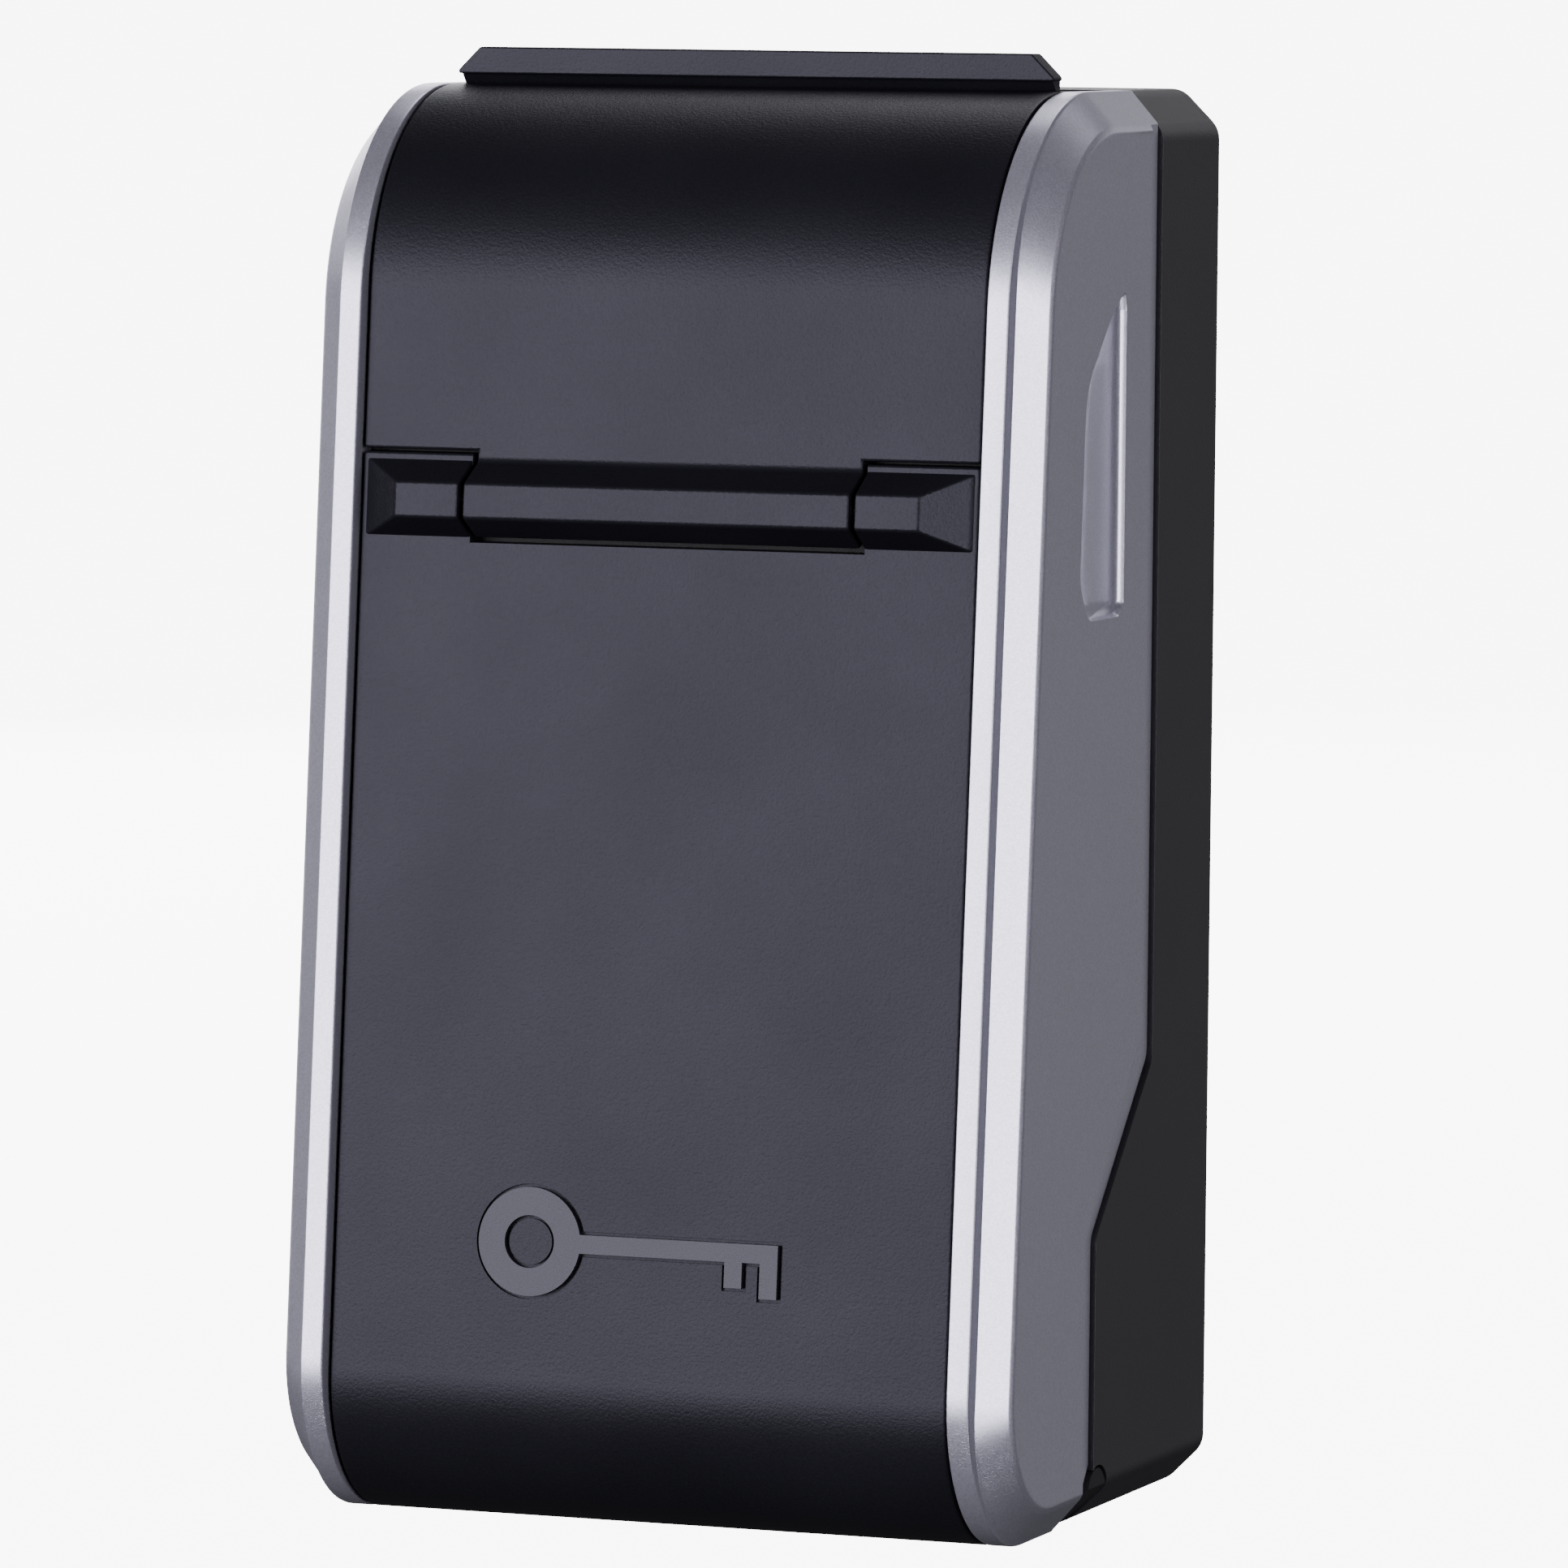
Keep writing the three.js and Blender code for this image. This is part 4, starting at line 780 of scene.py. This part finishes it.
def finger_lip():
    rear, foot = cover_rear(), LIP_TOP - LIP_HEIGHT
    front = rear - LIP_THICKNESS
    outline = [
        (-LIP_HALF, foot), (LIP_HALF, foot), (LIP_HALF, LIP_TOP - LIP_CORNER),
        (LIP_HALF - LIP_CORNER, LIP_TOP), (-LIP_HALF + LIP_CORNER, LIP_TOP),
        (-LIP_HALF, LIP_TOP - LIP_CORNER),
    ]
    lip = loft("lip", [across_y(front, outline), across_y(rear, outline)])
    soften(lip, 0.45, 3)
    undercut = [(front + 0.35, foot + 0.4), (front + LIP_NECK, TOP), (front + LIP_NECK, TOP - 1.2),
                (rear - 0.05, TOP - 1.2), (rear - 0.05, foot + 0.4)]
    neck = loft("neck", [across_x(-LIP_HALF + 0.3, undercut), across_x(LIP_HALF - 0.3, undercut)])
    return join(lip, neck)


def weather_cover():
    cover = loft("weather_flap", end_rings(cover_ring, -SKIN_HALF, SKIN_HALF))
    tongue = loft("tongue", end_rings(tongue_ring, -TONGUE_HALF, TONGUE_HALF))
    join(cover, tongue, finger_lip())
    cut(cover, rod("tool", "x", (0, PIN_Y, RIDGE_Z), 1.3, 3 * TONGUE_HALF, 24))
    return hand_over(cover, "cover", "panel_black", FINISH["panel"], "weather_cover")


# ---- side covers ------------------------------------------------------------------------------
def side_cover_rings():
    """From the inner edge of the front rail out to the side face.

    The step beside the rail fades out round the curves at both ends. A shallow shelf runs along the rear.
    """
    width = HALF - RAIL_OUTER
    shelf = HALF - REAR_LIP_STEP

    def bevel(x, extra=0.0):
        share = (x - RAIL_OUTER) / width
        return [step + (BEVEL - step) * share + extra for step in (RAIL_STEP, STEP_AT_ENDS)]

    stations = [
        (RAIL_INNER, 0.35, 0.35, 0), (RAIL_INNER + 0.12, 0.1, 0.1, 0), (RAIL_INNER + 0.35, 0, 0, 0),
        (RAIL_OUTER - 0.35, 0, 0, 0), (RAIL_OUTER - 0.1, 0.1, 0.03, 0),
        (RAIL_OUTER, 0.35, STEP_AT_ENDS / 2, 0), (RAIL_OUTER + 0.04, RAIL_STEP - 0.25, STEP_AT_ENDS, 0),
        (RAIL_OUTER + 0.2, *bevel(RAIL_OUTER + 0.2), 0),
        (shelf - 0.25, *bevel(shelf - 0.25), 0), (shelf - 0.04, *bevel(shelf - 0.04), 0.22),
        (shelf, *bevel(shelf), REAR_LIP - 0.1), (shelf + 0.1, *bevel(shelf + 0.12), REAR_LIP),
        (HALF - 0.12, *bevel(HALF, 0.05), REAR_LIP + 0.12),
        (HALF - 0.02, *bevel(HALF, 0.35), REAR_LIP + 0.32),
        (HALF, *bevel(HALF, 0.8), REAR_LIP + 0.5),
    ]
    return [across_x(x, door_outline(front, ends, DOOR_GAP + back)) for x, front, ends, back in stations]


SCOOP = {"bottom": 118.0, "top": 160.0, "front": 14.2, "rear": 37.4, "valley": 39.1, "shoulder": 12.0}


def finger_scoop():
    """The hollow under a fingertip: a rounded front edge, a shallow floor, then a steep rear wall."""
    low, high = UNDER + SCOOP["bottom"], UNDER + SCOOP["top"]
    rear, shoulder = SCOOP["rear"], SCOOP["shoulder"]

    def front(z):
        return front_at(z) + BEVEL + SCOOP["front"]

    mouth = rounded([
        (front(low + 5), low + 5), (front(high - shoulder), high - shoulder), (-rear - 5, high - 2.5),
        (-rear - 0.6, high), (-rear, high - 2.5), (-rear, low + 1.5), (-rear - 2, low), (front(low) + 4, low),
    ], [5, 10, 5, 0.5, 1, 1.2, 1, 3], 5)
    floor_low, floor_high = low + 2, high - 3

    def sink(outline, depth, share):
        """The outline at a depth, with a share of its distance from the valley left."""
        drawn_in = []
        for y, z in outline:
            nearest = Vector((-SCOOP["valley"], min(max(z, floor_low), floor_high)))
            drawn_in.append(nearest + (Vector((y, z)) - nearest) * share)
        return across_x(HALF - depth, drawn_in)

    profile = [(-0.6, 1.04), (0, 1), (0.3, 0.93), (0.6, 0.84), (0.85, 0.72), (1.05, 0.5), (1.17, 0.25),
               (1.2, 0.06)]
    return loft("scoop", [sink(mouth, depth, share) for depth, share in profile])


def side_cover_right():
    cover = loft("silver_cover_right", side_cover_rings())
    hollow_back = 1.0
    low, high = UNDER + SIDE_DEPTH, TOP - SIDE_DEPTH
    hollow = rounded([
        (front_at(high, SIDE_DEPTH), high), (front_at(low, SIDE_DEPTH), low),
        (hollow_back, low), (hollow_back, high),
    ], [TOP_RADIUS - SIDE_DEPTH, BOTTOM_RADIUS - SIDE_DEPTH, 0, 0])
    cut(cover, loft("tool", [across_x(RAIL_INNER - 1, hollow), across_x(HALF - SIDE_WALL, hollow)]))
    cut(cover, finger_scoop())
    y_front = front_at(UNDER + SCOOP["top"]) + BEVEL + 3

    def scoop_rim(a, b):
        return all(p.x > HALF - 0.02 and y_front < p.y < -SCOOP["rear"] + 0.3
                   and UNDER + SCOOP["bottom"] - 1 < p.z < UNDER + SCOOP["top"] + 1 for p in (a, b))

    return soften_where(cover, scoop_rim, 0.25)


def side_covers():
    right = side_cover_right()
    left = mirrored(right, "silver_cover_left")
    hand_over(right, "door", "silver", FINISH["silver"], "side_cover_right", smooth=30)
    hand_over(left, "door", "silver", FINISH["silver"], "side_cover_left", smooth=30)


# ---- dials and the lock face --------------------------------------------------------------------
def dial_outline(draw):
    """Ten gentle facets with a notch between neighbours."""
    shares = [(-0.34, 0), (-0.25, 0.02), (0, 0.05), (0.25, 0.02), (0.34, 0),
              (0.42, 0.32), (0.5, 0.5), (0.58, 0.32)]
    outline = []
    for digit in range(DIGITS):
        for share, drop in shares:
            turn = (digit + share) * math.tau / DIGITS + math.pi
            radius = DIAL_RADIUS - drop - draw
            outline.append((SPINDLE.y + radius * math.cos(turn), SPINDLE.z + radius * math.sin(turn)))
    return outline


def number_wheel(number):
    low, high = span(f"dial_{number}")
    rings = end_rings(lambda x, draw: across_x(x, dial_outline(draw)), low.x, high.x, 0.5)
    wheel = loft(f"number_wheel_{number}", rings)
    centre = ((low.x + high.x) / 2, SPINDLE.y, SPINDLE.z)
    cut(wheel, rod("tool", "x", centre, 4.3, 20))
    hand_over(wheel, f"dial_wheel_{number}", "dial_metal", FINISH["dial"], f"dial_{number}", smooth=40)
    hand_over(digits(number, centre), f"dial_wheel_{number}", "dial_metal", FINISH["ink"])


def digits(number, centre):
    """The numerals 0 to 9 round one wheel."""
    made = []
    for digit in range(DIGITS):
        clear_selection()
        bpy.ops.object.text_add()
        numeral = bpy.context.object
        numeral.data.body = str(digit)
        numeral.data.size = 5.4
        numeral.data.align_x = numeral.data.align_y = "CENTER"
        numeral.data.extrude = 0.12
        numeral.data.resolution_u = 4
        bpy.ops.object.convert(target="MESH")
        clean(numeral)
        turn = -digit * math.tau / DIGITS
        out = Matrix.Rotation(turn, 3, "X") @ Vector((0, -DIAL_RADIUS + 0.09, 0))
        place(numeral, Vector(centre) + out, (math.pi / 2 + turn, 0, 0))
        made.append(numeral)
    merged(made)
    return named(f"wheel_numerals_{number}")


def index_marks():
    """Two small pointers that show which row of numerals is read."""
    low, high = span("dial_1")[0].x, span("dial_4")[1].x
    y = front_at(SPINDLE.z, FACE["raised"])
    marks = (("index_mark_left", low - 3.2, low - 1.3), ("index_mark_right", high + 3.5, high + 1.6))
    for name, foot, tip in marks:
        outline = [(foot, SPINDLE.z + 1.2), (foot, SPINDLE.z - 1.2), (tip, SPINDLE.z)]
        mark = loft(name, [across_y(y - 0.06, outline), across_y(y + 0.3, outline)])
        hand_over(mark, "door", "dial_metal", FINISH["ink"])


FACE = {"raised": 7.2, "flat": 8.9, "plate": 2.0, "half": 33.6, "below": 3.9, "above": 1.9}
ROOM = {"dial": 0.5, "ends": 0.4, "gate": 6.0, "gate_left": 4.0, "gate_right": 2.75, "spindle": 2.4}
STEM = {"half": 2.4, "bottom": 1.35, "top": 10.65}    # its slot, from the foot of the button


def dial_face():
    """The plate behind the weather cover, with a window for each wheel and one for the button."""
    low, high = span("lock_face")

    def slab(name, half, bottom, top, front, back):
        outline = [(front_at(top, front), top), (front_at(bottom, front), bottom),
                   (front_at(bottom, back), bottom), (front_at(top, back), top)]
        return loft(name, [across_x(-half, outline), across_x(half, outline)])

    def bore(left, right, radius, sides):
        middle = ((left + right) / 2, SPINDLE.y, SPINDLE.z)
        cut(face, rod("tool", "x", middle, radius, right - left, sides))

    face = slab("dial_face", high.x, low.z, high.z, FACE["flat"], FACE["flat"] + FACE["plate"])
    join(face, slab("tool", FACE["half"], low.z + FACE["below"], high.z - FACE["above"],
                    FACE["raised"], FACE["flat"] + 1))
    for number in range(1, 5):
        left, right = span(f"dial_{number}")
        bore(left.x - ROOM["ends"], right.x + ROOM["ends"], DIAL_RADIUS + ROOM["dial"], 64)
    bore(span("dial_1")[0].x - ROOM["gate_left"], span("dial_4")[1].x + ROOM["gate_right"], ROOM["gate"], 48)
    left, right = span("dial_spindle")
    bore(left.x - ROOM["ends"], right.x + ROOM["ends"], ROOM["spindle"], 24)
    button, button_high = span("release_slide")
    x = (button.x + button_high.x) / 2
    cut(face, block("tool", (x - STEM["half"], -90, button.z + STEM["bottom"]),
                    (x + STEM["half"], -20, button.z + STEM["top"])))

    def front_rim(a, b):
        return all(p.y < front_at(p.z, FACE["raised"] + 0.02) for p in (a, b))

    return soften_where(face, front_rim, 0.22)


def lock_parts():
    hand_over(dial_face(), "door", "dial_metal", FINISH["face"], "lock_face")
    for cad_name, name, width, segments, body, slot, finish in (
        ("release_slide", "release_button", 0.25, 3, "release", "button_black", "button"),
        ("lock_case", "lock_casting", 0.3, 2, "door", "zinc", "zinc"),
        ("latch_bolt", "latch_plate", 0.25, 2, "release", "zinc", "zinc"),
        ("strike_plate", "strike_bracket", 0.3, 2, "housing", "zinc", "zinc"),
        ("code_lever", "code_change_lever", 0.25, 2, "code_change", "brass", "brass"),
    ):
        hand_over(dressed(cad_name, name, width, segments), body, slot, FINISH[finish], cad_name)


# ---- screws, hooks, springs and linings ---------------------------------------------------------
def screw_model():
    """A pan-head screw along +Z with a cross recess: the head's seat is at the origin."""
    screw = rod("screw_model", "z", (0, 0, 0.8), 2.3, 1.6, 40)
    soften(screw, 0.7, 4, 60)
    for turn in (0, math.pi / 2):
        bar = block("tool", (-1.35, -0.3, 0.75), (1.35, 0.3, 3))
        cut(screw, place(bar, turn=(0, 0, turn)))
    return screw


def shank(length):
    """A threaded shank below the seat."""
    turns = max(int(length / 0.6), 2)
    rings = []
    for k in range(4 * turns + 1):
        radius = 1.2 if k % 4 == 2 else 0.95
        z = -length * k / (4 * turns)
        rings.append([Vector((radius * math.cos(a), radius * math.sin(a), z))
                      for a in (i * math.tau / 16 for i in range(16))])
    return loft("shank", rings)


def screws():
    model = screw_model()
    kinds = [(f"panel_screw_{i}", "y", 1, "door") for i in range(1, 5)]
    kinds += [(f"case_screw_{i}", "y", 1, "door") for i in range(1, 5)]
    for i in range(1, 5):
        inwards = -1 if span(f"side_screw_{i}")[0].x > 0 else 1
        kinds.append((f"side_screw_{i}", "x", inwards, "door"))
    kinds += [(f"strike_screw_{i}", "z", -1, "housing") for i in range(1, 3)]
    for node_name, axis, way, body in kinds:
        low, high = span(node_name)
        index = "xyz".index(axis)
        screw = copy_of(model, node_name.replace("screw", "pan_screw"))
        join(screw, shank(high[index] - low[index] - 1.6))
        seat = (low + high) / 2
        seat[index] = high[index] - 1.6 if way > 0 else low[index] + 1.6
        turn = {"x": (0, way * math.pi / 2, 0), "y": (-way * math.pi / 2, 0, 0),
                "z": (0 if way > 0 else math.pi, 0, 0)}[axis]
        place(screw, seat, turn)
        hand_over(screw, body, "steel", FINISH["steel"], node_name)
    bpy.data.objects.remove(model)


def key_hook(number):
    """A bent wire hook with a rounded tip."""
    low, high = span(f"key_hook_{number}")
    x, radius, bend = (low.x + high.x) / 2, 1.3, 2.6
    z, tip_y = low.z + radius, low.y + radius
    rings = [(high.y, z, 0, 1.0), (tip_y + bend, z, 0, 1.0)]
    for k in range(1, 8):
        turn = k * math.pi / 16
        rings.append((tip_y + bend * (1 - math.sin(turn)), z + bend * (1 - math.cos(turn)), turn, 1.0))
    rings.append((tip_y, z + bend, math.pi / 2, 1.0))
    rings.append((tip_y, high.z - radius, math.pi / 2, 1.0))
    rings += [(tip_y, high.z - radius * (1 - math.sin(a)), math.pi / 2, math.cos(a))
              for a in (0.4, 0.8, 1.15, 1.4)]
    made = []
    for y, height, turn, share in rings:
        across = Vector((0, math.sin(turn), math.cos(turn)))
        middle, aside = Vector((x, y, height)), Vector((1, 0, 0))
        made.append([middle + radius * share * (math.cos(a) * aside + math.sin(a) * across)
                     for a in (i * math.tau / 20 for i in range(20))])
    hook = loft(f"wire_hook_{number}", made)
    return hand_over(hook, "housing", "steel", FINISH["steel"], f"key_hook_{number}", smooth=60)


def coil_spring():
    low, high = span("latch_spring")
    wire_radius, turns = 0.4, 6
    outer = (high.x - low.x) / 2
    clear_selection()
    bpy.ops.mesh.primitive_circle_add(vertices=10, radius=wire_radius, fill_type="NOTHING",
                                      location=(outer - wire_radius, 0, 0), rotation=(math.pi / 2, 0, 0))
    spring = named("latch_coil")
    bpy.ops.object.transform_apply(location=True, rotation=True, scale=True)
    height = high.z - low.z - 2 * wire_radius
    apply(spring, "SCREW", angle=math.tau, screw_offset=height / turns, iterations=turns, steps=28,
          render_steps=28, use_merge_vertices=True)
    take(spring)
    bpy.ops.object.mode_set(mode="EDIT")
    bpy.ops.mesh.select_all(action="SELECT")
    bpy.ops.mesh.fill_holes(sides=0)
    face_outwards()
    depth = (high.y - low.y) / (2 * outer)
    spring.scale = (1, depth, 1)
    place(spring, ((low.x + high.x) / 2, (low.y + high.y) / 2, low.z + wire_radius))
    return hand_over(spring, "door", "steel", FINISH["spring"], "latch_spring", smooth=60)


def linings():
    rail = dressed("hook_rail", "hook_bar", 0.5, 3)
    hand_over(rail, "housing", "housing_black", FINISH["frame"], "hook_rail")
    liner = dressed("compartment_liner", "ribbed_mat", 0.4, 2)
    low, high = span("compartment_liner")
    count = 24
    pitch = (high.z - low.z - 10) / count
    grooves = [block("tool", (low.x + 4, low.y - 1, low.z + 5 + pitch * (k + 0.3)),
                     (high.x - 4, low.y + 0.35, low.z + 5 + pitch * (k + 0.7))) for k in range(count + 1)]
    cut(liner, merged(grooves))
    hand_over(liner, "housing", "rubber", FINISH["mat"], "compartment_liner")
    seal = dressed("cover_seal", "flap_seal", 0.25, 2)
    hand_over(seal, "cover", "rubber", FINISH["rubber"], "cover_seal")
    rim = dressed("door_seal", "rim_seal", 0.4, 3)
    hand_over(rim, "housing", "rubber", FINISH["rubber"], "door_seal")


def inner_frame():
    inner = dressed("door_frame", "door_shell", 0)
    hand_over(inner, "door", "housing_black", FINISH["frame"], "door_frame")


def finish_cad_nodes():
    """CAD nodes that stay in view get their finish."""
    finishes = {
        "hinge_pin": "steel", "cover_pin": "steel", "dial_spindle": "steel", "detent_spring": "spring",
        "dial_cam_1": "brass", "dial_cam_2": "brass", "dial_cam_3": "brass", "dial_cam_4": "brass",
    }
    for name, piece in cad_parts.items():
        if not piece.hide_render:
            for slot in piece.material_slots:
                slot.material = FINISH[finishes[name]]


# ---- studio -----------------------------------------------------------------------------------
CAMERA = {"azimuth": 20.499, "pitch": 4.615, "roll": 0.522, "distance": 1.36983, "lens": 239.8,
          "target": (0.00252, -0.035, 0.00152)}


def aim(direction, roll=0.0):
    """A rotation that looks along a direction with the horizon level, then rolled."""
    forward = Vector(direction).normalized()
    right = forward.cross(Vector((0, 0, 1))).normalized()
    down = forward.cross(right)
    turned_right = right * math.cos(roll) - down * math.sin(roll)
    turned_down = right * math.sin(roll) + down * math.cos(roll)
    return Matrix((turned_right, -turned_down, -forward)).transposed()


def add_camera():
    azimuth, pitch = math.radians(CAMERA["azimuth"]), math.radians(CAMERA["pitch"])
    level = math.cos(pitch)
    forward = Vector((-math.sin(azimuth) * level, math.cos(azimuth) * level, -math.sin(pitch)))
    camera = bpy.data.objects.new("studio_camera", bpy.data.cameras.new("studio_camera"))
    bpy.context.scene.collection.objects.link(camera)
    camera.data.lens = CAMERA["lens"]
    camera.data.sensor_width = 36
    camera.data.clip_start, camera.data.clip_end = 0.05, 200
    camera.matrix_world = Matrix.LocRotScale(
        Vector(CAMERA["target"]) - forward * CAMERA["distance"],
        aim(forward, math.radians(CAMERA["roll"])), None)
    bpy.context.scene.camera = camera


def add_softbox(name, azimuth, elevation, distance, size, power, colour=(1, 1, 1)):
    """A rectangular light aimed at the box; azimuth 0 is straight in front, positive to the right."""
    a, e = math.radians(azimuth), math.radians(elevation)
    way = Vector((math.sin(a) * math.cos(e), -math.cos(a) * math.cos(e), math.sin(e)))
    light = bpy.data.objects.new(name, bpy.data.lights.new(name, "AREA"))
    light.data.shape = "RECTANGLE"
    light.data.size, light.data.size_y = size
    light.data.energy = power
    light.data.color = colour
    light.matrix_world = Matrix.LocRotScale(way * distance, aim(-way), None)
    bpy.context.scene.collection.objects.link(light)


FLOOR_DROP = 0.09                 # the box hangs on a wall, and its door opens to below its underside


def add_floor():
    clear_selection()
    bpy.ops.mesh.primitive_plane_add(size=120, location=(0, 0, UNDER * MM - FLOOR_DROP))
    floor = named("studio_floor")
    bpy.ops.object.mode_set(mode="EDIT")
    bpy.ops.mesh.subdivide(number_cuts=8)
    bpy.ops.object.mode_set(mode="OBJECT")
    floor.data.materials.append(grained(
        "pale_floor", (0.82, 0.82, 0.83), 0.9, 0.02, 0.02, 300, 0.02, 2, Emission_Color=(1, 1, 1, 1),
        Emission_Strength=8.0))
    floor.visible_glossy = False
    floor.visible_diffuse = False


def add_world(level):
    world = bpy.data.worlds.new("studio_world")
    world.use_nodes = True
    world.node_tree.nodes["Background"].inputs["Color"].default_value = (level, level, level * 1.03, 1)
    bpy.context.scene.world = world


COOL = (0.96, 0.95, 1.0)


def light_studio():
    add_world(0.05)
    add_softbox("front_softbox", -25, 6, 1.9, (1.6, 1.1), 59, COOL)
    add_softbox("right_softbox", 50, 0, 1.9, (0.8, 1.3), 43, COOL)
    add_softbox("rear_right_wall", 158, 0, 2.6, (1.6, 1.6), 1.6, COOL)
    add_softbox("rear_top_strip", 172, 16, 2.6, (1.6, 0.5), 2.2, COOL)
    add_softbox("overhead_softbox", 178, 52, 2.0, (1.6, 0.9), 14, COOL)
    add_softbox("rear_left_softbox", 215, 14, 2.4, (1.4, 1.2), 26, COOL)
    add_softbox("left_softbox", -112, 6, 2.2, (1.0, 1.2), 5, COOL)
    add_floor()


# ---- assembly ---------------------------------------------------------------------------------
add_camera()
light_studio()
housing_shell()
lower_panel()
raised_key()
weather_cover()
side_covers()
inner_frame()
for dial_number in range(1, 5):
    number_wheel(dial_number)
index_marks()
lock_parts()
screws()
for hook_number in range(1, 4):
    key_hook(hook_number)
coil_spring()
linings()
finish_cad_nodes()

clear_selection()
